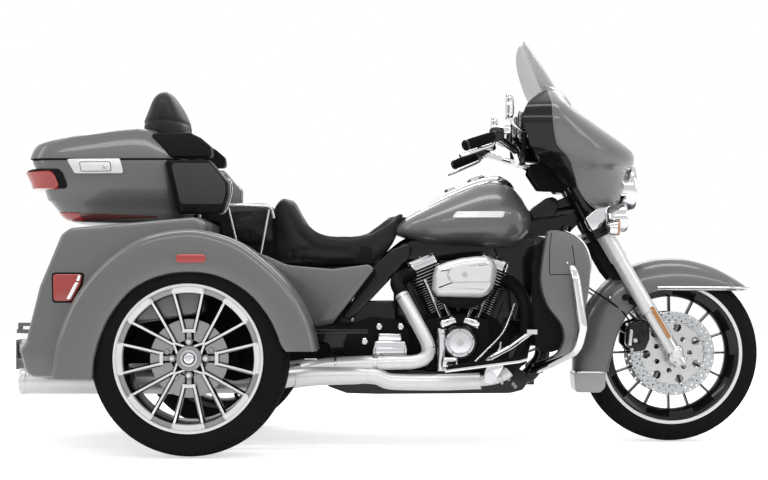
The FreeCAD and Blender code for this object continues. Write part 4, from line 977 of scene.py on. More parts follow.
class TRIKE_OT_top_case(bpy.types.Operator):
    """Top case: the tub's plan loops drawn in below the crease, and a lid whose loops climb to its crown"""

    bl_idname = "trike.top_case"
    bl_label = "Top case"

    def execute(self, context):
        tub = Form()
        loops = [plan_loop(x0, x1, h0, h1, r, z) for z, x0, x1, h0, h1, r in TUB_LEVELS]
        tub.sleeve(np.array(loops))
        tub.solid(np.array([loops[-1], loops[-1]]))
        lip = [
            tub_loop(z, d)
            for z, d in ((997.5, 0), (997.5, 5), (990, 6), (920, 6), (858, 6), (812, 12), (806, 24))
        ]
        tub.sleeve(np.array(lip), 1)
        tub.sleeve(np.array([lip[-1], lip[-1] * (0.02, 0.02, 1) + (-900 * 0.98, 0, 0)]), 1)
        # columns: low, high, front end, reach, slot, (x, share of the height)
        for low, high, ahead, reach, slot, share in (
            (787, 817, -805, 3, 2, [(-1150, 1.0), (-1072, 0.9), (-805, 0.2)]),
            (786, 818, -1072, 5, 3, [(-1150, 1.0), (-1072, 0.86)]),
        ):
            tub.grid(case_band(low, high, ahead, reach, lambda x, k=share: np.interp(x, *zip(*k))), slot=slot)
        seal = [
            plan_loop(-1247 - d, -724 + d, 278 + d, 290 + d, 90, z)
            for z, d in ((996, 0), (997, 3.5), (1001, 3.5), (1002, 0))
        ]
        tub.sleeve(np.array(seal), 1)
        piece(
            "case_body", tub, "chassis", finishes("paint", "plastic", "dark_red", "red"), ["case_tub"],
            sharp=40,
        )
        lid = Form()
        loops = []
        for share, inset, back in LID_LEVELS:
            loop = plan_loop(
                -1258 + inset + back, -722 - 0.25 * inset, 287 - inset, 293 - inset, max(90 - 0.4 * inset, 18),
                0,
            )
            loop[:, 2] = 1003.5 + share * lid_height(loop[:, 0] - back * 0.4)
            loops.append(loop)
        lid.grid(np.array(loops), wrap_v=True)
        spine = loops[-1] * (1, 0, 1)
        lid.sleeve(np.array([loops[-1], spine]))
        under = [plan_loop(-1252, -728, 281, 287, 84, 1003.5), plan_loop(-1230, -738, 260, 266, 74, 1010)]
        under[1][:, 2] = 1004 + 0.5 * lid_height(under[1][:, 0])
        lid.sleeve(np.array([loops[0], under[0], under[1], under[1] * (1, 0.02, 1)]), 1)
        piece("case_top", lid, "case_lid", finishes("paint", "plastic"), ["case_lid"], sharp=36)
        latch = Form()
        plate = rounded_loop([(-1118, 1001), (-932, 1003), (-919, 950), (-1089, 950)], 6, 60)
        latch.plate(plate, -262, -292, 3, 5, 4)
        paddle = rounded_loop([(-1072, 990), (-966, 991), (-962, 959), (-1066, 958)], 4, 50)
        edge = np.insert(np.vstack([paddle, paddle[:1]]), 1, -292.4, axis=1)
        latch.solid(tube(edge, 1.3, 90, 8, smooth=False), 1)
        latch.plate(paddle, -291, -293.4, 2, 4, 1.5)
        latch.solid(rod((-985, -293, 973), (-985, -296, 973), 7, 24, 1), 2)
        piece("case_catch", latch, "chassis", finishes("bright", "plastic", "satin"), ["case_latch"])
        return {"FINISHED"}


# (x, z) side outline of a speaker pod
POD = [(-776, 996), (-729, 811), (-600, 809), (-576, 819), (-556, 878), (-556, 918), (-621, 996)]


class TRIKE_OT_pods(bpy.types.Operator):
    """Speaker pods at the front of the top case: dark outer half, body-paint inner half, bright edge and a port;
    the lighter outer face and the dark rear strip are painted light and shade
    """

    bl_idname = "trike.pods"
    bl_label = "Speaker pods"

    def execute(self, context):
        form = Form()
        outline = rounded_loop(POD, 14, 130)
        form.plate(outline, -250, -318, 8, 8, 18)
        form.solid(slab(outline, dome(-262, -218, 5, 6, 10)) + (2, 0, 0), 1)
        edge = open_curve(
            [
                (-640, -219, 812), (-596, -219, 812), (-572, -219, 824), (-552, -219, 880), (-552, -219, 920),
                (-566, -219, 938),
            ],
            60,
        )
        form.solid(tube(edge, 2.2, 60, 10), 2)
        # lighter grey face on the pod's outer side: painted light on its lit face, with the darker plastic left
        # below it as painted shade
        face = rounded_loop(
            [(-752, 984), (-719, 842), (-574, 842), (-564, 880), (-564, 914), (-618, 984)], 14, 110,
        )
        form.plate(face, -314, -320, 5, 5, 3, 4)
        # dark rubber strip along the rear edge: painted shade where the pod turns away from the light
        shaded_rear_edge = rounded_loop([(-772, 990), (-756, 990), (-716, 820), (-730, 820)], 4, 60)
        form.plate(shaded_rear_edge, -312, -319, 2, 3, 2, 3)
        port = rounded_loop([(-706, 833), (-662, 833), (-662, 815), (-706, 815)], 4, 40)
        form.plate(port, -314, -320, 2, 3, 2, 3)
        form.both_sides()
        piece(
            "pods", form, "chassis", finishes("plastic", "paint", "chrome", "rubber", "panel"), ["speaker_pods"],
        )
        return {"FINISHED"}


# ---------------------------------------------------------------- tank
# columns: x, half width, bottom z, widest z, top z
TANK = [
    (12, 34, 750, 757, 764), (24, 62, 743, 758, 780), (60, 97, 732, 764, 806), (110, 120, 722, 770, 834),
    (155, 138, 715, 775, 857), (230, 156, 706, 784, 893), (311, 167, 701, 791, 926), (360, 170, 699, 795, 936),
    (400, 169, 699, 796, 935), (441, 162, 701, 797, 921), (474, 146, 713, 799, 886), (496, 118, 740, 802, 850),
    (508, 84, 772, 806, 832),
]


def tank_loop(x, half, z0, zm, z1):
    """Closed section: power curves with exponent 2.4 above the widest line and 2.8 below it."""
    a = np.linspace(0, 2 * math.pi, 72, endpoint=False)
    c, s = np.cos(a), np.sin(a)
    n = np.where(s > 0, 2 / 2.1, 2 / 2.9)
    y = half * np.sign(c) * np.abs(c) ** n
    z = zm + np.where(s > 0, (z1 - zm) * np.abs(s) ** n, -(zm - z0) * np.abs(s) ** n)
    return np.stack([np.full(72, x), y, z], 1)


# columns: x, half width, bottom z, top z
CONSOLE = [
    (48, 14, 790, 806), (60, 25, 795, 816), (110, 31, 822, 846), (155, 35, 845, 876), (230, 39, 880, 914),
    (298, 42, 904, 944), (345, 45, 916, 957), (385, 46, 920, 962), (412, 42, 918, 955), (440, 32, 908, 936),
    (452, 20, 902, 920),
]


class TRIKE_OT_tank(bpy.types.Operator):
    """Fuel tank: smooth sections from tail to nose; console, filler cap, gauge and the plain side bars on it"""

    bl_idname = "trike.tank"
    bl_label = "Tank and console"

    def execute(self, context):
        body = between([tank_loop(*row) for row in TANK], 90)
        form = Form().solid(body)
        piece("tank", form, "chassis", finishes("paint"), ["fuel_tank"], sharp=60)
        trim = Form()
        loops = []
        for x, half, z0, z1 in CONSOLE:
            a = np.linspace(0, math.pi, 24)
            c, s = np.cos(a), np.sin(a)
            loops.append(
                np.stack([np.full(24, x), half * np.sign(c) * np.abs(c) ** 0.6, z0 + (z1 - z0) * s**0.6], 1)
            )
        trim.grid(between(loops, 60))
        trim.solid(rod((322, 0, 925), (314, 0, 954), 38, 48, 4))
        trim.solid(rod((314.3, 0, 953), (313.7, 0, 955), 31, 48, 0.8), 1)
        trim.solid(rod((230, 0, 892), (224, 0, 916), 27, 40, 3))
        for s in (-1, 1):
            loop = rounded_loop([(222, 803), (239, 825), (410, 825), (404, 803)], 3, 60)
            out = np.interp(
                loop[:, 0], [row[0] for row in TANK], [row[1] for row in TANK],
            ) + np.interp(loop[:, 1], [795, 826], [0.5, -2.5])
            rows = [
                np.stack([loop[:, 0] + (loop[:, 0] - 290) * k, s * (out + d), loop[:, 1]], 1)
                for k, d in ((0, -6), (0, 1.5), (-0.03, 2.6))
            ]
            trim.solid(np.array(rows), 2)
        piece("console", trim, "chassis", finishes("chrome", "dial", "bright"), ["tank_console"])
        return {"FINISHED"}


# ---------------------------------------------------------------- seats and pads
# columns: x, half width, base z, shoulder z, middle z
RIDER_SEAT = [
    (-404, 160, 654, 826, 832), (-394, 176, 649, 852, 860), (-372, 186, 648, 873, 883),
    (-350, 190, 648, 862, 870), (-322, 192, 648, 816, 810), (-282, 191, 648, 764, 748),
    (-236, 188, 648, 737, 720), (-165, 176, 648, 730, 714), (-81, 142, 648, 746, 738), (-44, 118, 649, 766, 764),
    (0, 94, 700, 797, 802), (20, 80, 738, 814, 824), (38, 62, 786, 826, 834), (46, 44, 806, 826, 832),
]
PASSENGER_SEAT = [
    (-702, 132, 800, 820, 826), (-692, 160, 792, 836, 842), (-660, 176, 790, 843, 850),
    (-606, 178, 788, 843, 851), (-590, 178, 736, 843, 851), (-520, 178, 718, 843, 850),
    (-440, 176, 713, 842, 849), (-412, 168, 713, 832, 842), (-405, 150, 718, 815, 822),
]


def cushion_loop(x, half, z0, side_z, mid_z):
    """Closed seat section: flat base, sides pulled in at their middle, round shoulders, dished top."""
    rise = side_z - z0
    drop = min(26.0, 0.4 * rise)
    right = [
        (0.45 * half, z0), (0.92 * half, z0), (0.985 * half, z0 + 0.12 * rise), (0.96 * half, z0 + 0.45 * rise),
        (0.985 * half, side_z - drop), (0.88 * half, side_z), (0.5 * half, mid_z),
    ]
    ring = [(y, z) for y, z in right] + [(0, mid_z - 1)] + [(-y, z) for y, z in reversed(right)] + [(0, z0)]
    loop = even(closed_curve(ring, 300), 72, closed=True)
    return np.insert(loop, 0, x, axis=1)


def baked(obj):
    """Replaces the mesh by its own result after modifiers, and drops them."""
    graph = bpy.context.evaluated_depsgraph_get()
    graph.update()
    mesh = bpy.data.meshes.new_from_object(obj.evaluated_get(graph))
    obj.modifiers.clear()
    obj.data = mesh


def corners(obj):
    co = np.empty(len(obj.data.vertices) * 3)
    obj.data.vertices.foreach_get("co", co)
    return co.reshape(-1, 3)


def puffed(obj, limit):
    """Swells a closed form as stuffed cover: even cells, twenty steps of cloth, moves capped at limit."""
    cells = obj.modifiers.new("cells", "REMESH")
    cells.mode, cells.voxel_size = "VOXEL", 0.0065
    baked(obj)
    start = corners(obj)
    cloth = obj.modifiers.new("cloth", "CLOTH")
    cloth.settings.quality = 4
    cloth.settings.use_pressure = True
    cloth.settings.uniform_pressure_force = 4.0
    cloth.settings.effector_weights.gravity = 0.0
    scene = bpy.context.scene
    for step in range(1, 21):
        scene.frame_set(step)
    baked(obj)
    moved = corners(obj) - start
    far = np.linalg.norm(moved, axis=1)
    scale = np.minimum(1.0, limit * MM / np.maximum(far, 1e-9))
    obj.data.vertices.foreach_set("co", (start + moved * scale[:, None]).ravel())
    scene.frame_set(1)


def sewn(obj, distance, depth, width):
    """Sinks a channel: each point moves in along its normal by depth, fading with its distance from the seam."""
    co = corners(obj)
    normals = np.empty(len(co) * 3)
    obj.data.vertices.foreach_get("normal", normals)
    fall = np.exp(-((distance(co / MM) / width) ** 2)) * depth * MM
    obj.data.vertices.foreach_set("co", (co - normals.reshape(-1, 3) * fall[:, None]).ravel())


def pad(name, form, body, node, seam, fill=0.7):
    """Stuffed piece: swollen form with one sewn channel, then one subdivision."""
    obj = add_mesh(name, form, finishes("pad_cover"))
    puffed(obj, bpy.context.scene.trike_size.swell)
    sewn(obj, seam, 4.0, 7.0)
    obj.data.shade_smooth()
    soft = obj.modifiers.new("smooth", "SUBSURF")
    soft.levels = soft.render_levels = 1
    if node:
        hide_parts(node)
    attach(obj, body)
    return obj


def seat_surface(stations, rows, shrink):
    """Seat body through its stations, each section drawn towards its own middle by shrink."""
    body = between([cushion_loop(*row) for row in stations], rows)
    centre = body.mean(1, keepdims=True)
    reach = np.linalg.norm(body - centre, axis=2, keepdims=True)
    return centre + (body - centre) * (1 - shrink / reach)


def backrest_form():
    """Upright pad: its (x, z) outline carried across, pulled to a narrow crown at both sides."""
    upright = [
        (-850, 1100), (-880, 1116), (-888, 1136), (-868, 1190), (-848, 1240), (-820, 1262), (-790, 1256),
        (-762, 1218), (-734, 1154), (-716, 1112), (-728, 1094), (-790, 1090),
    ]
    loop = even(closed_curve(upright, 300), 64, closed=True)
    centre = np.array([-794.0, 1100.0])
    rows = []
    for y, share in (
        (-152, 0.06), (-148, 0.30), (-136, 0.56), (-112, 0.80), (-70, 0.95), (0, 1.0), (70, 0.95), (112, 0.80),
        (136, 0.56), (148, 0.30), (152, 0.06),
    ):
        ring = centre + (loop - centre) * share
        rows.append(np.insert(ring, 1, y, axis=1))
    return between(rows, 60)


# (x, z) side outline of the wrap beside the backrest
WRAP = [(-838, 1092), (-690, 1093), (-652, 1074), (-618, 1045), (-613, 1006), (-755, 1006)]
# (x, z) outline of the dark cover between the seats and the fenders
SKIRT = [
    (-612, 770), (-404, 770), (-300, 720), (-60, 700), (-60, 640), (-300, 634), (-400, 636), (-470, 670),
    (-560, 716), (-612, 730),
]


class TRIKE_OT_seats(bpy.types.Operator):
    """Seats and backrest: stuffed forms swollen as cloth, with sewn channels; wrap panels"""

    bl_idname = "trike.seats"
    bl_label = "Seats and backrest"

    def execute(self, context):
        def rider_seam(p):
            return np.where(
                p[:, 0] > -330,
                np.abs(np.abs(p[:, 1]) - 0.72 * np.interp(p[:, 0], [-330, -165, 16], [190, 176, 82])), 60,
            ) + (p[:, 2] < 700) * 60

        def pillion_seam(p):
            return np.minimum(np.abs(np.abs(p[:, 1]) - 118), np.abs(p[:, 0] + 552)) + (p[:, 2] < 826) * 60

        def rest_seam(p):
            return np.abs(p[:, 2] - 1136 - 0.1 * np.abs(p[:, 1]))

        rider = Form().solid(seat_surface(RIDER_SEAT, 90, 5))
        pad("saddle", rider, "chassis", "rider_seat", rider_seam)
        pillion = Form().solid(seat_surface(PASSENGER_SEAT, 60, 4))
        pad("pillion", pillion, "chassis", "passenger_seat", pillion_seam)
        rest = Form().solid(backrest_form())
        pad("upright", rest, "case_lid", None, rest_seam)
        wrap = Form()
        outline = rounded_loop(WRAP, 16, 110)
        wrap.plate(outline, -214, -290, 7, 7, 14)
        wrap.both_sides()
        base = rounded_loop([(-836, 1016), (-846, 1090), (-716, 1090), (-690, 1030), (-690, 1016)], 12, 90)
        wrap.plate(base, 0, -216, 2, 4, 4)
        wrap.plate(base, 0, 216, 2, 4, 4)
        piece("rest_base", wrap, "case_lid", finishes("plastic"), ["backrest"], sharp=40)
        skirt = Form()
        loop = rounded_loop(SKIRT, 10, 120)
        skirt.plate(loop, -110, -138, 3, 5, 5)
        skirt.both_sides()
        piece("seat_skirt", skirt, "chassis", finishes("plastic"), (), sharp=40)
        return {"FINISHED"}


# ---------------------------------------------------------------- engine
CRANK = np.array([250.0, 0.0, 330.0])
LEANS = (-22.5, 22.5)


def upright_rings(form, levels, lean, y=0.0, x=0.0, slot=0, power=3.2):
    """Stack of rounded-square loops above the crank, leaned: columns are height, half x, half y."""
    a = np.linspace(0, 2 * math.pi, 64, endpoint=False)
    c, s = np.cos(a), np.sin(a)
    k = 2 / power
    loops = [
        np.stack(
            [
                CRANK[0] + x + hx * np.sign(c) * np.abs(c) ** k, y + hy * np.sign(s) * np.abs(s) ** k,
                np.full(64, CRANK[2] + up),
            ],
            1,
        )
        for up, hx, hy in levels
    ]
    form.solid(turned(np.array(loops), "y", lean, CRANK), slot)


class TRIKE_OT_cylinders(bpy.types.Operator):
    """Cylinders: fins with bright rims, heads, two-tier rocker covers, pushrod tubes and lifter covers"""

    bl_idname = "trike.cylinders"
    bl_label = "Cylinders"

    def execute(self, context):
        sizes = context.scene.trike_size
        form, covers, rods = Form(), Form(), Form()
        count = sizes.fin_count
        pitch = (266 - 160) / count
        edge = sizes.fin_edge
        for lean in LEANS:
            upright_rings(form, [(128, 57, 57), (266, 57, 57)], lean, power=2)
            for k in range(count):
                z = 160 + k * pitch
                r = 72 + 3 * (k > count * 0.6)
                upright_rings(
                    form,
                    [
                        (z, 56, 56), (z, r - edge, r - edge), (z + 1.2, r, r), (z + 3, r, r),
                        (z + 4.2, r - edge, r - edge), (z + 4.2, 56, 56),
                    ],
                    lean, power=2.6,
                )
                upright_rings(
                    form,
                    [
                        (z + 0.9, r - 0.6, r - 0.6), (z + 1.3, r + 0.3, r + 0.3), (z + 2.9, r + 0.3, r + 0.3),
                        (z + 3.3, r - 0.6, r - 0.6),
                    ],
                    lean, power=2.6, slot=1,
                )
            for k in range(5):
                z = 268 + 11 * k
                upright_rings(
                    form, [(z, 60, 68), (z + 1, 66, 75), (z + 4, 66, 75), (z + 5, 60, 68)], lean, power=5,
                )
                upright_rings(
                    form, [(z + 1.2, 65, 74), (z + 1.5, 66.4, 75.4), (z + 3.5, 66.4, 75.4), (z + 3.8, 65, 74)],
                    lean, power=5, slot=1,
                )
            upright_rings(form, [(262, 62, 70), (322, 62, 70)], lean, power=5)
            tiers = [
                (322.4, 57, 68), (323, 59, 70), (333, 59, 70), (334, 57, 68), (336, 57, 68), (337, 58.5, 69.5),
                (347, 58.5, 69.5), (348, 56.5, 67.5), (350, 56.5, 67.5), (352, 57, 68), (358, 54, 65),
                (363, 46, 57), (364.5, 36, 47), (364.8, 4, 6),
            ]
            upright_rings(covers, tiers, lean, power=5.5)
            for x in (-46, 0, 46):
                for y in (-58, 58):
                    p = turned(CRANK + (x, y, 361 if x == 0 else 355), "y", lean, CRANK)
                    n = turned(CRANK + (0, 0, 1), "y", lean, CRANK) - CRANK
                    screws(covers, [p], n, 5, 5, 1)
            for shift in (-17, 17):
                foot, top = turned(
                    CRANK + (0, -126, 110), "y", lean, CRANK,
                ), turned(CRANK + (0, -66, 272), "y", lean, CRANK)
                foot, top = foot + (shift, 0, 0), top + (shift, 0, 0)
                line = top - foot
                for a, b, r in ((0, 1, 7.6), (0, 0.10, 11), (0.44, 0.58, 9.5), (0.93, 1.0, 11)):
                    rods.solid(rod(foot + line * a, foot + line * b, r, 24, 0.8))
            tappet = turned(brick((250, -150, 440), (64, 52, 34), 4.5, 16, 32), "y", lean, CRANK)
            rods.sleeve(tappet)
        screws(
            rods, [(222, -178, 452), (206, -178, 436), (278, -178, 452), (294, -178, 436)], (0, -1, 0), 4, 3, 1,
        )
        piece("barrels", form, "chassis", finishes("cast_black", "satin"), ["cylinders"])
        piece(
            "rocker_lids", covers, "chassis", finishes("chrome", "steel"), ["rocker_covers"], sharp=30,
        )
        piece("pushrods", rods, "chassis", finishes("chrome", "steel"), ["pushrod_tubes"], sharp=30)
        return {"FINISHED"}


AIR_COVER = [
    (152, 596), (163, 630), (205, 646), (252, 658), (300, 664), (342, 665), (362, 652), (376, 625), (374, 600),
    (362, 556), (343, 530), (319, 520), (168, 524), (149, 548),
]
AIR_BASE = [
    (160, 560), (168, 512), (214, 486), (262, 482), (318, 492), (352, 528), (358, 600), (250, 640), (172, 610),
]

# (x, z) outlines of dark parts: plate over the frame's bend, gearbox, backs of the engine, skid pan, tank stay;
# the backs of the engine are a dark sheet that is partly the engine's far side and partly painted shade filling
# the gaps behind the cylinders
FRAME_PLATE = [(78, 716), (10, 690), (-48, 640), (-170, 446), (-140, 432), (0, 580), (50, 640), (72, 660)]
GEAR_CASE = [(-258, 276), (-258, 494), (-244, 504), (24, 508), (24, 276)]
ENGINE_BACK_AND_SHADE = [
    (16, 480), (18, 640), (80, 700), (470, 700), (516, 560), (520, 400), (500, 280), (430, 240), (20, 240),
]
SKID = [(-222, 206), (-150, 180), (-40, 177), (430, 180), (476, 192), (500, 232), (474, 262), (-222, 262)]
HEAD_STAY = [(40, 700), (80, 728), (330, 724), (520, 748), (530, 704), (400, 660), (60, 655)]
NECK_COVER = [
    (506, 828), (522, 846), (546, 862), (568, 878), (590, 883), (608, 876), (613, 856), (600, 812), (520, 800),
]
DOWN_COVER = [(372, 712), (520, 740), (536, 690), (520, 560), (500, 440), (444, 430), (430, 560), (396, 640)]


class TRIKE_OT_engine_sides(bpy.types.Operator):
    """Air cleaner, cam cover, filter, gearbox lid and primary cover: rolled edges and raised panels"""

    bl_idname = "trike.engine_sides"
    bl_label = "Engine covers"

    def execute(self, context):
        air = Form()
        cover = rounded_loop(AIR_COVER, 12, 150)
        air.plate(cover, -234, -282, 24, 10, 30)
        panel = rounded_loop([(200, 604), (222, 628), (362, 632), (352, 574), (216, 572)], 12, 100)
        air.plate(panel, -276, -288, 6, 6, 6)
        groove = open_curve(
            [
                (202, -287.6, 602), (210, -288.2, 618), (228, -288.4, 625), (300, -288.4, 627.5),
                (354, -288.2, 628),
            ],
            60,
        )
        air.solid(tube(groove, 1.1, 60, 8), 1)
        air.solid(tube([(202, -287.6, 602), (212, -288.2, 581), (280, -288.4, 577)], 0.8, 40, 8), 1)
        air.solid(rod((262, -285, 601), (262, -289.4, 601), 10, 40, 2), 1)
        base = rounded_loop(AIR_BASE, 16, 120)
        air.plate(base, -196, -250, 18, 7, 22, 2)
        air.solid(rod((250, -200, 560), (250, -20, 560), 27, 40), 2)
        piece(
            "air_box", air, "chassis", finishes("bright", "satin", "cast_black"), ["air_cleaner"],
            sharp=45,
        )
        sides = Form()
        hub = (249, 0, 362)
        sides.sleeve(lathe([(-169, 1), (-169, 63), (-196, 61), (-202, 57), (-202, 1)], hub, 96), 1)
        sides.sleeve(
            lathe(
                [
                    (-200, 53), (-212, 52), (-216, 49), (-216, 45), (-213, 43), (-213, 40), (-217, 38),
                    (-218, 20), (-218, 1),
                ],
                hub, 96,
            )
        )
        screws(sides, round_row((249, -215, 362), 47.5, 5, 18), (0, -1, 0), 4, 3, 3)
        sides.sleeve(lathe([(-217, 1), (-217, 13), (-219.5, 12), (-219.5, 1)], hub, 48), 2)
        sides.solid(rod((182, -196, 262), (182, -196, 404), 17, 40, 4))
        sides.solid(rod((182, -196, 392), (182, -196, 412), 20, 40, 3))
        sides.sleeve(brick((214, -190, 290), (58, 44, 46), 5))
        sides.sleeve(brick((120, -196, 296), (38, 50, 40), 4), 1)
        for outline, y0, y1, soft in (
            ([(-58, 302), (-60, 340), (-52, 368), (58, 368), (66, 340), (64, 302)], -151, -196, 10),
            ([(-42, 366), (-40, 394), (44, 394), (46, 366)], -151, -190, 8),
            ([(-50, 316), (-50, 344), (56, 344), (56, 316)], -190, -199, 5),
        ):
            loop = rounded_loop(outline, 8, 90)
            sides.plate(loop, y0, y1, soft * 0.6, 5, soft)
        screws(sides, [(-34, -186, 386), (38, -186, 386), (-54, -190, 322), (60, -190, 322)], (0, -1, 0), 4, 4, 3)
        for x, z in ((-35, 417), (42, 417), (-86, 365)):
            sides.solid(rod((x, -148, z), (x, -168, z), 11, 30, 2))
        primary = rounded_loop(
            [
                (-128, 262), (-170, 330), (-128, 398), (-60, 420), (180, 440), (300, 420), (360, 350),
                (330, 270), (280, 244), (-60, 244),
            ],
            46, 140,
        )
        sides.plate(primary, 111, 186, 26, 8, 34)
        derby = (250, 0, 334)
        sides.sleeve(
            lathe([(184, 64), (190, 62), (193, 58), (191, 54), (194, 50), (196, 20), (196, 1)], derby, 80)
        )
        screws(sides, round_row((250, 192, 334), 58, 5, 18), (0, 1, 0), 4, 3, 3)
        piece(
            "side_covers_engine", sides, "chassis", finishes("chrome", "gloss_black", "satin", "steel"),
            ["engine_covers"], sharp=40,
        )
        dark = Form()
        # the engine's back sheet is partly painted shade: a dark sheet in the middle plane behind the cylinders
        # and covers
        for outline, y0, y1 in (
            (FRAME_PLATE, -122, -138), (GEAR_CASE, -60, -128), (HEAD_STAY, -20, -52), (DOWN_COVER, -10, -58),
            (NECK_COVER, -4, -36), (ENGINE_BACK_AND_SHADE, -4, -26), (SKID, -40, -150),
        ):
            loop = rounded_loop(outline, 14, 130)
            dark.plate(loop, y0, y1, 5, 6, 8)
        for x, z in ((-130, 440), (424, 230), (447, 205), (322, 200), (440, 214)):
            dark.solid(rod((x, -134, z), (x, -156 if z < 300 else -142, z), 7, 30, 2), 1)
        dark.both_sides()
        piece("frame_covers", dark, "chassis", finishes("gloss_black", "steel"), (), sharp=40)
        return {"FINISHED"}


REAR_HEADER = [
    (100, -40, 600), (52, -104, 600), (26, -176, 574), (44, -212, 530), (92, -232, 442), (134, -242, 358),
    (130, -244, 316), (93, -246, 297), (20, -248, 293), (-100, -254, 291), (-220, -268, 284), (-330, -300, 262),
    (-372, -318, 246),
]
FRONT_HEADER = [
    (390, -40, 590), (446, -76, 566), (486, -140, 486), (478, -200, 372), (440, -226, 286), (372, -236, 238),
    (228, -242, 226), (60, -246, 226), (-6, -249, 230), (-60, -256, 248), (-240, -290, 250), (-330, -312, 244),
]


def shield(path, r, start, stop, rows=50):
    """Heat shield: a strip of the tube round its outer side, between two shares of the path."""
    p = tube(path, r, rows=200, sides=64)
    low, high = int(start * 199), int(stop * 199)
    part = p[low:high:3]
    out = part[:, :, 1].argmin(1)
    index = (out[:, None] + np.arange(-15, 16)[None, :]) % 64
    return part[np.arange(len(part))[:, None], index]


class TRIKE_OT_exhaust(bpy.types.Operator):
    """Headers swept along their bends, heat shields, clamps, and the two long mufflers"""

    bl_idname = "trike.exhaust"
    bl_label = "Exhaust"

    def execute(self, context):
        form = Form()
        form.solid(tube(REAR_HEADER, 20, 110, 28))
        form.solid(tube(REAR_HEADER, 22.5, 200, 32)[:46], 3)
        form.solid(tube(FRONT_HEADER, 22.5, 200, 32)[:74], 3)
        form.solid(tube(FRONT_HEADER, [20, 20, 20, 20, 20, 19, 18, 18, 21, 31, 33, 36], 120, 28))
        form.shell(shield(REAR_HEADER, 22.6, 0.23, 0.66), 1.6)
        form.shell(shield(REAR_HEADER, 24.5, 0.67, 0.93), 1.6)
        form.shell(shield(FRONT_HEADER, 27, 0.46, 0.80), 1.6)
        for path, at in ((REAR_HEADER, (0.24, 0.44, 0.63, 0.8)), (FRONT_HEADER, (0.40, 0.56, 0.74))):
            line = even(open_curve(path, 400), 400)
            for share in at:
                k = int(share * 399)
                u = line[k + 1] - line[k]
                u /= np.linalg.norm(u)
                wide = 27.6 if path is FRONT_HEADER or share > 0.7 else 24.2
                form.solid(rod(line[k] - u * 4, line[k] + u * 4, wide, 40, 1.5), 2)
        piece(
            "headers", form, "chassis", finishes("bright", "header", "satin", "cast_black"), ["exhaust_pipes"],
            sharp=40,
        )
        cans = Form()
        path = [
            (-214, -290, 250), (-300, -308, 250), (-380, -324, 240), (-450, -330, 234), (-700, -330, 234),
            (-1000, -330, 234), (-1256, -330, 234),
        ]
        cans.sleeve(tube(path, [26, 34, 42, 44, 44, 44, 44], 120, 48))
        cans.sleeve(
            turned(
                lathe(
                    [(0, 44), (4, 45.5), (22, 45.5), (26, 44), (26, 38), (-30, 36), (-60, 34), (-60, 1)],
                    (0, 0, 0), 48,
                ),
                "z", 90, (0, 0, 0),
            ) + (-1240, -330, 234)
        )
        cans.solid(rod((-460, -330, 234), (-446, -330, 234), 46.5, 48, 2), 1)
        cans.both_sides()
        cans.solid(
            tube(
                [(-330, -280, 246), (-352, -200, 236), (-356, 0, 236), (-352, 200, 236), (-330, 280, 246)], 24,
                60, 24,
            ),
            1,
        )
        for s in (-1, 1):
            cans.solid(rod((-350, s * 100, 236), (-212, s * 100, 258), 8), 1)
        piece("silencers", cans, "chassis", finishes("bright", "satin"), ["mufflers"], sharp=40)
        return {"FINISHED"}


# ---------------------------------------------------------------- boards and leg fairings
LEG = [
    (540, 748), (562, 752), (600, 745), (634, 726), (664, 692), (682, 640), (684, 590), (674, 510), (654, 430),
    (634, 364), (612, 336), (560, 312), (486, 291), (560, 322), (582, 345), (595, 383), (587, 427), (562, 462),
    (540, 492), (522, 540), (516, 588), (522, 650), (530, 700),
]
LEG_INNER = [
    (500, 640), (510, 700), (530, 722), (556, 722), (584, 690), (620, 622), (630, 500), (616, 400), (604, 350),
    (560, 334), (516, 334), (502, 380), (498, 520),
]


class TRIKE_OT_leg_fairings(bpy.types.Operator):
    """Leg fairings with their box doors and vents, and the black inner panels"""

    bl_idname = "trike.leg_fairings"
    bl_label = "Leg fairings"

    def execute(self, context):
        form = Form()
        outline = even(open_curve(LEG + LEG[:1], 400), 170)[:-1]
        form.plate(outline, -330, -388, 5, 8, 12)
        for line in (
            [(552, 742), (546, 690), (546, 606), (560, 600), (616, 600)],
            [(616, 600), (628, 606), (630, 640), (622, 700)],
        ):
            path = [(x, -387.9, z) for x, z in line]
            form.solid(tube(path, 1.3, 40, 8), 1)
        form.solid(rod((606, -386, 640), (606, -389.5, 640), 3.5, 24, 1), 2)
        # bright chrome bead along the front edge: painted highlight for the light caught on that edge
        rim = [(600, -358, 750), (638, -360, 731), (669, -361, 697), (687, -362, 645), (690, -362, 604)]
        form.solid(tube(rim, [1, 5.5, 6, 5.5, 1], 60, 12), 2)
        form.both_sides()
        piece(
            "leg_shields", form, "chassis", finishes("paint", "rubber", "chrome"), ["leg_fairings"],
            sharp=50,
        )
        inner = Form()
        loop = rounded_loop(LEG_INNER, 18, 130)
        inner.plate(loop, -330, -198, 16, 7, 26)
        for k in range(5):
            slat = rounded_loop(
                [(548, 470 + 26 * k), (606, 480 + 26 * k), (606, 488 + 26 * k), (548, 478 + 26 * k)], 3, 40,
            )
            inner.plate(slat, -205, -194, 2, 4, 2, 1)
        inner.both_sides()
        piece(
            "leg_shield_inners", inner, "chassis", finishes("cast_black", "rubber"), ["leg_fairing_inners"],
            sharp=45,
        )
        return {"FINISHED"}


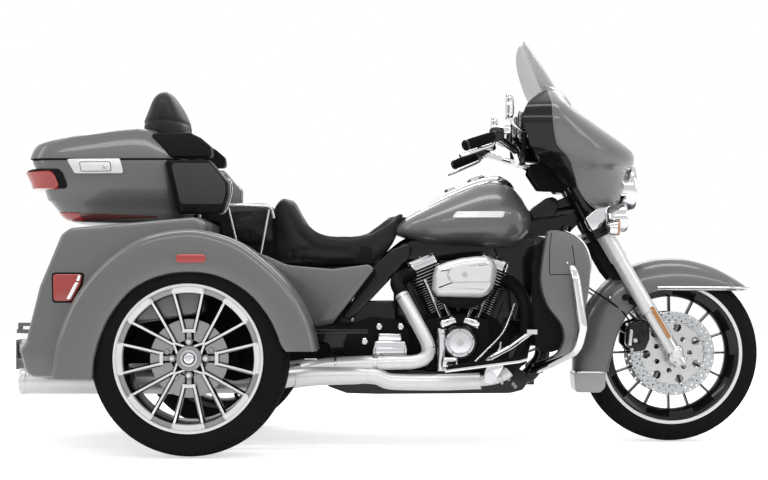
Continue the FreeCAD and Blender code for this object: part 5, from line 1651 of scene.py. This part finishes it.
class TRIKE_OT_boards(bpy.types.Operator):
    """Footboards: ribbed rubber on a bright tray, its hinge boss and arm; passenger boards behind"""

    bl_idname = "trike.boards"
    bl_label = "Footboards"

    def execute(self, context):
        form = Form()
        x = np.linspace(188, 466, 40)
        rise = np.interp(x, [186, 440, 467], [268, 301, 309])
        for y0, y1, low, high, slot in ((-430, -308, 0, 9, 0), (-426, -312, 9, 13, 1)):
            trim = 0 if slot == 0 else 6
            ring = np.array(
                [(y0, low), (y0 - 2 * (slot == 0), (low + high) / 2), (y0, high), (y1, high), (y1, low)]
            )
            rows = np.stack(
                [
                    np.stack([np.full(5, a), ring[:, 0], b + ring[:, 1]], 1)
                    for a, b in zip(x, rise)
                    if 186 + trim < a < 467 - trim
                ]
            )
            form.solid(rows, slot)
        for k in range(9):
            y = -420 + 12.5 * k
            path = [(202, y, 285), (440, y, 314)]
            form.solid(tube(path, 2.6, 12, 8, smooth=False), 1)
        form.solid(rod((340, -424, 252), (340, -160, 252), 15, 32, 2))
        form.solid(rod((340, -428, 252), (340, -418, 252), 21, 40, 2))
        arm = rounded_loop(
            [(318, 246), (330, 232), (352, 236), (372, 262), (392, 296), (330, 288), (322, 266)], 8, 70,
        )
        form.plate(arm, -402, -420, 3, 4, 3)
        rear = rounded_loop([(-266, 398), (-266, 414), (-72, 414), (-72, 398)], 7, 60)
        form.plate(rear, -264, -368, 2, 4, 3, 2)
        rubber = rounded_loop([(-258, 413), (-258, 421), (-80, 421), (-80, 413)], 3, 60)
        form.plate(rubber, -272, -362, 2, 4, 2, 1)
        for path, r in (
            ([(444, -168, 499), (416, -176, 426), (390, -190, 384), (343, -204, 337), (302, -210, 296)], 3.6),
            ([(392, -214, 364), (384, -216, 334), (346, -218, 301)], 4.4),
        ):
            form.solid(tube(path, r, 60, 14))
        form.both_sides()
        piece(
            "boards", form, "chassis", finishes("chrome", "rubber", "gloss_black"), ["footboards"],
            sharp=40,
        )
        return {"FINISHED"}


# ---------------------------------------------------------------- fork and front fender
RAKE = math.tan(math.radians(30.5))


def fork_point(z, y, ahead=0.0):
    """Point of the fork leg at height z; ahead moves it square to the leg, forward."""
    a = math.radians(30.5)
    return np.array([FRONT_HUB[0] - (z - FRONT_HUB[2]) * RAKE + ahead * math.cos(a), y, z + ahead * math.sin(a)])


# (x, z) outlines of the dark shrouds beside the steering head, and of the dark plates behind the fork covers,
# which are painted shade standing in for the far fork leg's dark look
SHROUD = [
    (500, 968), (508, 996), (560, 1008), (612, 992), (668, 930), (700, 862), (668, 862), (640, 900), (604, 906),
    (574, 906), (540, 908),
]
FORK_SHADE_PLATE = [(707, 730), (756, 730), (856, 582), (800, 582), (776, 612)]


class TRIKE_OT_fork(bpy.types.Operator):
    """Fork: sliders and their bright covers, axle and clamps, side reflectors, brake calipers and their lines"""

    bl_idname = "trike.fork"
    bl_label = "Fork and brakes"

    def execute(self, context):
        form = Form()
        y = -128
        for low, high, r, slot in (
            (283, 470, 27, 1), (470, 474, 29, 0), (474, 660, 27.5, 0), (654, 742, 31, 0), (738, 746, 32.5, 0),
        ):
            form.solid(rod(fork_point(low, y), fork_point(high, y), r, 48, 1.2), slot)
        foot = fork_point(300, y)
        form.sleeve(brick(fork_point(316, y), (58, 52, 70), 3.4, 18, 36), 1)
        form.sleeve(brick(fork_point(292, y, 4), (48, 46, 34), 4, 16, 32), 1)
        for x in (-14, 14):
            screws(form, [foot + (x, -24, -14)], (0, -1, 0), 5, 4, 1)
        form.solid(rod((FRONT_HUB[0], -150, FRONT_HUB[2]), (FRONT_HUB[0], -164, FRONT_HUB[2]), 17, 40, 3))
        form.solid(rod((FRONT_HUB[0], -66, FRONT_HUB[2]), (FRONT_HUB[0], -155, FRONT_HUB[2]), 12, 32), 1)
        a, b = fork_point(370, y, 10), fork_point(482, y, 10)
        for grow, out, slot in ((3, 25.5, 0), (0, 28, 2)):
            side = np.array([math.cos(math.radians(30.5)), 0, math.sin(math.radians(30.5))])
            along = (b - a) / np.linalg.norm(b - a)
            half = 8.5 + grow
            strip = [
                a - along * grow - side * half, a - along * grow + side * half, b + along * grow + side * half,
                b + along * grow - side * half,
            ]
            loop = rounded_loop([(p[0], p[2]) for p in strip], 7, 60)
            form.plate(loop, y - 10, y - out, 2.5, 4, 2.5, slot)
        form.both_sides()
        form.solid(rod((FRONT_HUB[0], -70, FRONT_HUB[2]), (FRONT_HUB[0], 70, FRONT_HUB[2]), 12, 32), 1)
        piece(
            "sliders", form, "steering", finishes("bright", "satin", "amber"), ["fork_legs"], sharp=40,
        )
        form = Form()
        body = rounded_loop(
            [(846, 352), (850, 408), (866, 430), (905, 444), (930, 424), (932, 372), (916, 332), (876, 324)], 14,
            90,
        )
        form.plate(body, -70, -108, 8, 6, 9)
        for x, z in ((872, 360), (884, 392), (900, 424)):
            form.solid(rod((x + 12, -106, z), (x + 12, -112, z), 12, 32, 3))
        form.solid(rod((880, -104, 366), (880, -113, 366), 9, 30, 2.5), 1)
        bridge = rounded_loop([(853, 348), (866, 346), (872, 404), (860, 408)], 4, 50)
        form.plate(bridge, -98, -112, 2, 4, 3, 1)
        for x, z in ((850, 424), (868, 334), (918, 440)):
            screws(form, [(x, -100, z)], (0, -1, 0), 6, 8, 1)
        form.both_sides()
        for s in (-1, 1):
            line = [
                (862, s * 90, 430), (850, s * 92, 452), (824, s * 84, 480), (780, s * 98, 512),
                (716, s * 112, 552), (676, s * 110, 586), (672, s * 96, 640), (690, s * 70, 700),
                (700, s * 40, 730),
            ]
            form.solid(tube(line, 3.0, 90, 12), 2)
        piece(
            "front_calipers", form, "steering", finishes("gloss_black", "satin", "rubber"), ["brake_calipers"],
        )
        cables = Form()
        for k, (y0, y1, lift) in enumerate(
            ((-150, -34, 0), (-130, -22, 12), (-110, -10, -10), (120, 8, 4), (140, 20, -6), (160, 32, 14))
        ):
            path = [
                (440 + 5 * k, y0, 1084), (478, 0.7 * y0, 1056 + lift), (516, y1, 1014 + lift),
                (566, y1, 982 + lift), (612, y1, 952 + 0.5 * lift), (640, y1 * 0.8, 934),
            ]
            cables.solid(tube(path, 6.0, 70, 12))
        # the dark plates behind the fork covers are painted shade for the far fork leg
        for outline, y0, y1 in ((SHROUD, 57, 65), (FORK_SHADE_PLATE, 84, 90)):
            loop = rounded_loop(outline, 8, 110)
            for s in (-1, 1):
                cables.plate(loop, s * y0, s * y1, 3, 5, 3, 1)
        piece("bar_cables", cables, "steering", finishes("rubber", "cast_black"), ())
        return {"FINISHED"}


# (x, z) of the top line and of the lower edge, front tip first
FENDER_TOP = [
    (1300, 553), (1276, 571), (1241, 593), (1172, 629), (1093, 653), (1024, 661), (950, 655), (874, 632),
    (796, 587), (738, 524), (701, 462), (680, 392), (668, 320), (664, 252),
]
FENDER_LOW = [
    (1302, 549), (1268, 546), (1222, 546), (1150, 546), (1090, 546), (1030, 546), (968, 546), (910, 524),
    (866, 478), (834, 426), (812, 372), (798, 316), (788, 280), (784, 252),
]


def ridge(low, high, half, power=2.7, around=34):
    """Section from a low edge to a top line: |y/half|^n + share^n = 1, from the right edge to the left."""
    a = np.linspace(0, math.pi, around)
    c, s = np.cos(a), np.sin(a)
    y = -half * np.sign(c) * np.abs(c) ** (2 / power)
    share = np.abs(s) ** (2 / power)
    p = np.asarray(low)[None, :] + share[:, None] * (np.asarray(high) - np.asarray(low))[None, :]
    return np.stack([p[:, 0], y, p[:, 1]], 1)


class TRIKE_OT_front_fender(bpy.types.Operator):
    """Front fender: crowned sheet with a rolled edge, bright strips along its sides, light flap at the back"""

    bl_idname = "trike.front_fender"
    bl_label = "Front fender"

    def execute(self, context):
        top = even(open_curve(FENDER_TOP, 500), 90)
        low = even(open_curve(FENDER_LOW, 500), 90)
        share = np.linspace(0, 1, 90)
        half = 88 * np.minimum(1, (share / 0.10 + 0.02) ** 0.42)
        surface = np.array([ridge(b, t, h) for b, t, h in zip(low, top, half)])
        form = Form()
        form.shell(surface[:, ::-1], 3.0, 0, 1)
        for y in (-1, 1):
            edge = np.stack([low[:, 0], y * (half + 0.2), low[:, 1]], 1)
            form.solid(tube(edge[4:], 2.6, 90, 10, smooth=False))
            strip = [
                (962, y * 89, 556), (1080, y * 90, 556), (1210, y * 89, 555), (1262, y * 78, 554),
                (1292, y * 52, 553), (1303, y * 20, 553),
            ]
            form.solid(tube(strip, 4.2, 80, 12), 2)
            form.solid(tube([(x, a, z - 8) for x, a, z in strip[:4]], 1.6, 60, 8), 2)
            form.solid(rod((846, y * 84, 520), (846, y * 127, 520), 11, 24), 1)
            form.sleeve(brick((880, y * 104, 508), (44, 40, 30), 4, 12, 24), 1)
            screws(form, [(868, y * 88, 566), (792, y * 88, 520)], (0, y, 0), 5, 3, 2)
        flap = rounded_loop([(664, 252), (778, 252), (776, 196), (758, 178), (670, 178)], 12, 90)
        form.plate(flap, 0, -84, 3, 5, 5, 3)
        form.plate(flap, 0, 84, 3, 5, 5, 3)
        form.sleeve(brick((724, 0, 252), (116, 176, 8), 8, 10, 40), 2)
        piece(
            "front_guard", form, "steering", finishes("paint", "cast_black", "chrome", "white"), ["front_fender"],
            sharp=50,
        )
        return {"FINISHED"}


# ---------------------------------------------------------------- fairing, screen and lamps
# columns: z, x at the middle, x at the side edge, half width, squareness of the plan curve
FAIRING = [
    (832, 812, 742, 150, 2.2), (844, 822, 712, 200, 2.2), (868, 834, 684, 226, 2.2), (905, 846, 660, 240, 2.3),
    (940, 852, 648, 262, 2.3), (968, 858, 636, 288, 2.3), (984, 876, 630, 308, 2.3), (1004, 883, 616, 332, 2.25),
    (1024, 883, 596, 352, 2.2), (1044, 872, 576, 366, 2.15), (1080, 824, 564, 386, 2.1),
    (1120, 760, 558, 398, 2.1), (1152, 710, 556, 394, 2.1), (1182, 664, 556, 378, 2.1),
    (1204, 648, 554, 342, 2.1), (1222, 638, 553, 304, 2.1), (1240, 624, 552, 262, 2.1),
    (1250, 606, 550, 230, 2.1),
]
SCREEN = [
    (1236, 622, 536, 230), (1264, 602, 522, 240), (1290, 586, 511, 244), (1344, 551, 491, 226),
    (1392, 520, 477, 184), (1424, 499, 475, 134), (1441, 487, 480, 84),
]
INNER = [
    (905, 640, 618, 216), (940, 612, 590, 240), (970, 588, 560, 264), (1022, 522, 500, 330),
    (1080, 488, 470, 372), (1130, 472, 454, 384), (1182, 488, 470, 366), (1224, 524, 512, 296),
    (1244, 544, 538, 240),
]


def plan_arc(front, edge, half, power, z, around=61):
    """Plan curve |share|^n + |y/half|^n = 1 from the side edge to the middle, closer points near edges."""
    a = np.linspace(0, math.pi, around)
    c, s = np.cos(a), np.sin(a)
    k = 2 / power
    y = -half * np.sign(c) * np.abs(c) ** k
    x = edge + (front - edge) * np.abs(s) ** k
    return np.stack([x, y, np.full(around, z)], 1)


def smooth_rows(table, count):
    """The table's rows, resampled evenly along the curve through them."""
    return even(open_curve(table, 900), count)


class TRIKE_OT_fairing(bpy.types.Operator):
    """Outer fairing through its plan curves, the vent at its crown, and the black inner fairing with its dials"""

    bl_idname = "trike.fairing"
    bl_label = "Fairing"

    def execute(self, context):
        rows = smooth_rows(FAIRING, 84)
        surface = np.array([plan_arc(front, edge, half, power, z) for z, front, edge, half, power in rows])
        form = Form()
        form.shell(surface[:, ::-1], 3.5, 0, 1)
        for col in (0, -1):
            form.solid(tube(surface[2:, col], 3.4, 90, 10, smooth=False))
        piece(
            "fairing", form, "steering", finishes("paint", "plastic"), ["fairing_outer"], sharp=50,
        )
        inner = smooth_rows(INNER, 60)
        face = np.array([plan_arc(mid, cheek, half, 3.0, z) for z, mid, cheek, half in inner])
        back = np.array([plan_arc(a[0, 0] + 6, a[0, 0] + 6, abs(a[0, 1]) + 2, 3.0, a[0, 2]) for a in face])
        outer = np.interp(inner[:, 0], rows[:, 0], rows[:, 2])
        rim = np.array(
            [
                plan_arc(x + 4, x - 3, h + 2, 3.0, z)
                for x, h, z in zip(outer, np.interp(inner[:, 0], rows[:, 0], rows[:, 3]), inner[:, 0])
            ]
        )
        form = Form()
        form.grid(face[:, ::-1])
        for col in (0, -1):
            form.grid(
                np.stack(
                    [
                        face[:, col], 0.6 * face[:, col] + 0.4 * rim[:, col] + (0, 3 * (1 if col else -1), 0),
                        rim[:, col],
                    ],
                    1,
                )
            )
        form.grid(np.stack([face[0], rim[0]], 0))
        form.grid(np.stack([face[-1], rim[-1]], 0))
        form.grid(rim)
        for y in (-262, 262):
            form.sleeve(
                turned(
                    lathe([(0, 1), (0, 56), (4, 62), (8, 62), (10, 58), (5, 50), (3, 1)], (0, 0, 0), 60), "z", 90,
                    (0, 0, 0),
                ) + (474, y, 1082),
                2,
            )
        for y, z, r in (
            (-92, 1140, 46), (92, 1140, 46), (-170, 1150, 24), (170, 1150, 24), (-150, 1098, 24),
            (150, 1098, 24),
        ):
            dial = turned(
                lathe([(0, 1), (0, r), (5, r + 3), (9, r + 2), (9, r - 3), (5, r - 5), (5, 1)], (0, 0, 0), 60),
                "z", 90, (0, 0, 0),
            )
            form.sleeve(dial + (472, y, z), 3)
        form.sleeve(brick((478, 0, 1040), (26, 176, 96), 9, 14, 40), 3)
        piece(
            "dash", form, "steering", finishes("gloss_black", "plastic", "rubber", "dial"), ["fairing_inner"],
            sharp=42,
        )
        visor = Form()
        crown = [
            (1206, 655, 560, 300), (1222, 644, 553, 288), (1240, 632, 546, 262), (1256, 612, 540, 236),
            (1264, 592, 538, 214),
        ]
        arch = np.array([plan_arc(front, edge, half, 2.2, z) for z, front, edge, half in smooth_rows(crown, 16)])
        visor.shell(arch[:, ::-1], 4.0, 0, 1)
        slot_rows = np.array(
            [
                plan_arc(front + 2, edge, half * 0.5, 2.6, z)
                for z, front, edge, half in smooth_rows([(1224, 647, 640, 190), (1238, 638, 630, 180)], 6)
            ]
        )
        visor.shell(slot_rows[:, ::-1], 3.0, 1, 1)
        piece("fairing_crown", visor, "steering", finishes("paint", "gloss_black"), sharp=50)
        return {"FINISHED"}


class TRIKE_OT_screen(bpy.types.Operator):
    """Windscreen: clear sheet whose rows are plan arcs, narrowing to its rounded top"""

    bl_idname = "trike.screen"
    bl_label = "Windscreen"

    def execute(self, context):
        rows = smooth_rows(SCREEN, 60)
        surface = np.array([plan_arc(front, edge, half, 2.0, z, 49) for z, front, edge, half in rows])
        form = Form()
        form.shell(surface, 3.5)
        piece("screen", form, "steering", finishes("screen"), ["windscreen"], sharp=60)
        return {"FINISHED"}


def forward(profile, centre, sides=72):
    """(x, r) profile turned about a line along X through the centre."""
    q = np.asarray(profile, float)
    a = np.linspace(0, 2 * math.pi, sides, endpoint=False)
    ring = np.stack([np.broadcast_to(q[:, :1], (len(q), sides)), q[:, 1:] * np.cos(a), q[:, 1:] * np.sin(a)], -1)
    return ring + (0, centre[1], centre[2])


class TRIKE_OT_front_lamps(bpy.types.Operator):
    """Headlamp, passing lamps and turn signals: housings turned about X, lenses, and the bar they sit on"""

    bl_idname = "trike.front_lamps"
    bl_label = "Front lamps"

    def execute(self, context):
        form = Form()
        hub = (0, 0, 912)
        form.sleeve(
            forward(
                [(806, 1), (806, 70), (830, 84), (868, 88), (884, 87), (890, 83), (888, 79), (880, 78), (880, 1)],
                hub,
            )
        )
        form.sleeve(forward([(878, 78), (886, 77), (893, 60), (896, 30), (897, 1)], hub), 1)
        piece("headlight", form, "steering", finishes("chrome", "lamp"), ["headlamp"], sharp=35)
        bar = Form()
        path = [
            (790, -258, 768), (806, -220, 782), (800, -170, 776), (792, -120, 758), (796, -60, 762),
            (806, 0, 772),
        ]
        bar.solid(tube(path, 9, 70, 16))
        lamp = (0, -190, 800)
        bar.sleeve(
            forward(
                [
                    (764, 1), (764, 26), (772, 38), (796, 48), (824, 50), (832, 49), (835, 46), (832, 43),
                    (826, 42), (826, 1),
                ],
                lamp,
            )
        )
        bar.sleeve(forward([(824, 43), (834, 40), (839, 24), (841, 1)], lamp), 1)
        lamp = (0, -276, 762)
        bar.sleeve(forward([(754, 1), (756, 12), (764, 22), (784, 26), (792, 26), (792, 1)], lamp))
        bar.sleeve(forward([(790, 26.5), (797, 26), (800, 20), (801, 1)], lamp), 2)
        bar.solid(rod((792, -190, 752), (800, -190, 790), 9, 24))
        plate = even(
            open_curve(
                [
                    (690, 800), (742, 842), (800, 846), (836, 846), (812, 822), (770, 796), (740, 758),
                    (716, 756), (690, 800),
                ],
                300,
            ),
            90,
        )[:-1]
        bar.plate(plate, -128, -168, 5, 5, 8)
        bar.both_sides()
        piece("lamp_bar", bar, "steering", finishes("chrome", "lamp", "amber"), ["light_bar"], sharp=40)
        return {"FINISHED"}


# ---------------------------------------------------------------- hand controls
class TRIKE_OT_controls(bpy.types.Operator):
    """Grips with ribs, switch housings and reservoirs on both sides; mirrors on their stems"""

    bl_idname = "trike.controls"
    bl_label = "Hand controls and mirrors"

    def execute(self, context):
        form = Form()
        a, b = np.array([345.0, -392, 1066]), np.array([258.0, -456, 1034])
        u = (b - a) / np.linalg.norm(b - a)
        form.solid(rod(a - u * 4, b, 17.2, 40, 2))
        for k in range(12):
            c = a + u * (10 + 7.5 * k)
            form.solid(rod(c - u * 2, c + u * 2, 18.4, 40, 1))
        form.solid(rod(b - u * 5, b + u * 6, 18.6, 40, 2), 2)
        c = a - u * 20
        form.solid(rod(c - u * 24, c + u * 14, 21, 40, 3), 2)
        form.sleeve(brick(c - u * 8 + (0, 0, 6), (52, 40, 44), 4, 18, 36), 2)
        form.sleeve(brick(a - u * 34 + (14, 0, 18), (60, 34, 30), 4.5, 16, 32), 1)
        form.both_sides()
        piece(
            "hand_controls", form, "steering", finishes("rubber", "chrome", "gloss_black"), ["grips"],
            sharp=45,
        )
        view = Form()
        shape = even(
            closed_curve(
                [
                    (-46, 6), (-44, 52), (-30, 70), (0, 76), (30, 70), (44, 52), (46, 6), (30, -6), (0, -9),
                    (-30, -6),
                ],
                300,
            ),
            80, closed=True,
        )
        ring = [(0, 0.0), (4, 0.0), (4, 4.0), (0, 6.0), (-1, 12.0), (4, 20.0), (14, 24.0), (40, 26.0)]
        shell = slab(shape, [(max(i, -1), y) for i, y in ring])
        place = np.stack([398 + shell[..., 1], shell[..., 0] - 386, 1137 + shell[..., 2]], -1)
        view.solid(place)
        glass = [
            np.stack(
                [np.full(80, x), 0.90 * shape[:, 0] - 386, 1140 + 0.90 * shape[:, 1]], 1,
            ) for x in (398.6, 397.2)
        ]
        view.solid(np.array(glass), 1)
        view.solid(tube([(414, -386, 1132), (424, -380, 1112), (446, -360, 1098), (466, -340, 1094)], 6, 40, 16))
        view.both_sides()
        piece("mirror_pair", view, "steering", finishes("chrome", "dial"), ["mirrors"], sharp=40)
        return {"FINISHED"}


# ---------------------------------------------------------------- stage
class TRIKE_OT_stage(bpy.types.Operator):
    """Stage: floor, white surroundings, soft boxes over and beside the trike, and the camera on its right"""

    bl_idname = "trike.stage"
    bl_label = "Stage and camera"

    def execute(self, context):
        scene = context.scene
        floor_form = Form().grid(
            np.array(
                [[(-14000, -12000, -1), (14000, -12000, -1)], [(-14000, 12000, -1), (14000, 12000, -1)]], float,
            )
        )
        floor = add_mesh("floor", floor_form, [floor_finish()])
        world = bpy.data.worlds.new("studio")
        scene.world = world
        world.use_nodes = True
        links = world.node_tree.links
        back = world.node_tree.nodes["Background"]
        links.new(spread(world.node_tree, seen_rays(world.node_tree), 0.60, 1.0), back.inputs["Strength"])
        back.inputs["Color"].default_value = (1, 1, 1, 1)
        # columns: name, place, size x, size y, power
        lights = (
            ("top", (0.0, -0.6, 3.6), 4.6, 0.7, 70),
            ("side", (0.3, -4.2, 2.6), 5.0, 0.4, 46),
            ("front", (3.6, -1.8, 2.2), 0.8, 2.6, 24),
            ("rear", (-3.6, -1.6, 2.2), 0.8, 2.6, 24),
            ("far", (0.0, 3.4, 2.8), 4.0, 0.8, 34),
        )
        for name, place, wide, high, power in lights:
            data = bpy.data.lights.new(name, "AREA")
            data.shape, data.size, data.size_y, data.energy = "RECTANGLE", wide, high, power
            lamp = bpy.data.objects.new(name, data)
            lamp.location = place
            lamp.rotation_euler = (Vector((0, 0, 0.6)) - Vector(place)).to_track_quat("-Z", "Y").to_euler()
            scene.collection.objects.link(lamp)
        data = bpy.data.cameras.new("camera")
        data.lens, data.sensor_width, data.shift_y = 77.34, 36.0, 0.0568
        camera = bpy.data.objects.new("camera", data)
        camera.location = (-0.018, -6.0, 0.569)
        camera.rotation_euler = (math.pi / 2, 0, 0)
        scene.collection.objects.link(camera)
        scene.camera = camera
        scene.view_settings.view_transform = "Standard"
        return {"FINISHED"}


def seen_rays(tree):
    """1 for rays by which camera, metal and glass see the surroundings, 0 for rays that light the trike."""
    path = tree.nodes.new("ShaderNodeLightPath")
    found = path.outputs["Is Camera Ray"]
    for kind in ("Is Glossy Ray", "Is Transmission Ray"):
        most = tree.nodes.new("ShaderNodeMath")
        most.operation = "MAXIMUM"
        tree.links.new(found, most.inputs[0])
        tree.links.new(path.outputs[kind], most.inputs[1])
        found = most.outputs[0]
    return found


def floor_finish():
    """Matt floor that lets the white surroundings show and only darkens a little under the trike."""
    made, tree, shader = tree_of("floor")
    slow = noise(tree, 1.5)
    shader.inputs["Roughness"].default_value = 0.9
    shader.inputs["Specular IOR Level"].default_value = 0.1
    shader.inputs["Emission Color"].default_value = (1, 1, 1, 1)
    tree.links.new(spread(tree, seen_rays(tree), 0.22, 0.62), shader.inputs["Emission Strength"])
    tree.links.new(
        tinted(tree, (0.86, 0.86, 0.86), spread(tree, slow.outputs["Fac"], 0.99, 1.0)),
        shader.inputs["Base Color"],
    )
    return made


OPERATORS = (
    TRIKE_OT_nodes,
    TRIKE_OT_tyres,
    TRIKE_OT_wheels,
    TRIKE_OT_rear_body,
    TRIKE_OT_rear_lamps,
    TRIKE_OT_top_case,
    TRIKE_OT_pods,
    TRIKE_OT_tank,
    TRIKE_OT_seats,
    TRIKE_OT_cylinders,
    TRIKE_OT_engine_sides,
    TRIKE_OT_exhaust,
    TRIKE_OT_leg_fairings,
    TRIKE_OT_boards,
    TRIKE_OT_fork,
    TRIKE_OT_front_fender,
    TRIKE_OT_fairing,
    TRIKE_OT_screen,
    TRIKE_OT_front_lamps,
    TRIKE_OT_controls,
    TRIKE_OT_stage,
)


class TRIKE_PT_panel(bpy.types.Panel):
    """Sidebar list of the trike's finishes, sizes and pieces"""

    bl_idname = "TRIKE_PT_panel"
    bl_label = "Motorized trike"
    bl_space_type = "VIEW_3D"
    bl_region_type = "UI"
    bl_category = "Trike"

    def draw(self, context):
        for settings in (context.scene.trike_finish, context.scene.trike_size):
            for name in settings.__annotations__:
                self.layout.prop(settings, name)
        for made in OPERATORS:
            self.layout.operator(made.bl_idname)


CLASSES = (FinishSettings, SizeSettings, *OPERATORS, TRIKE_PT_panel)


def register():
    for made in CLASSES:
        bpy.utils.register_class(made)
    bpy.types.Scene.trike_finish = bpy.props.PointerProperty(type=FinishSettings)
    bpy.types.Scene.trike_size = bpy.props.PointerProperty(type=SizeSettings)


def unregister():
    del bpy.types.Scene.trike_size
    del bpy.types.Scene.trike_finish
    for made in reversed(CLASSES):
        bpy.utils.unregister_class(made)


def main():
    register()
    for made in OPERATORS:
        group, name = made.bl_idname.split(".")
        if getattr(getattr(bpy.ops, group), name)() != {"FINISHED"}:
            raise RuntimeError(f"{made.bl_label} did not finish")


if __name__ == "__main__":
    main()
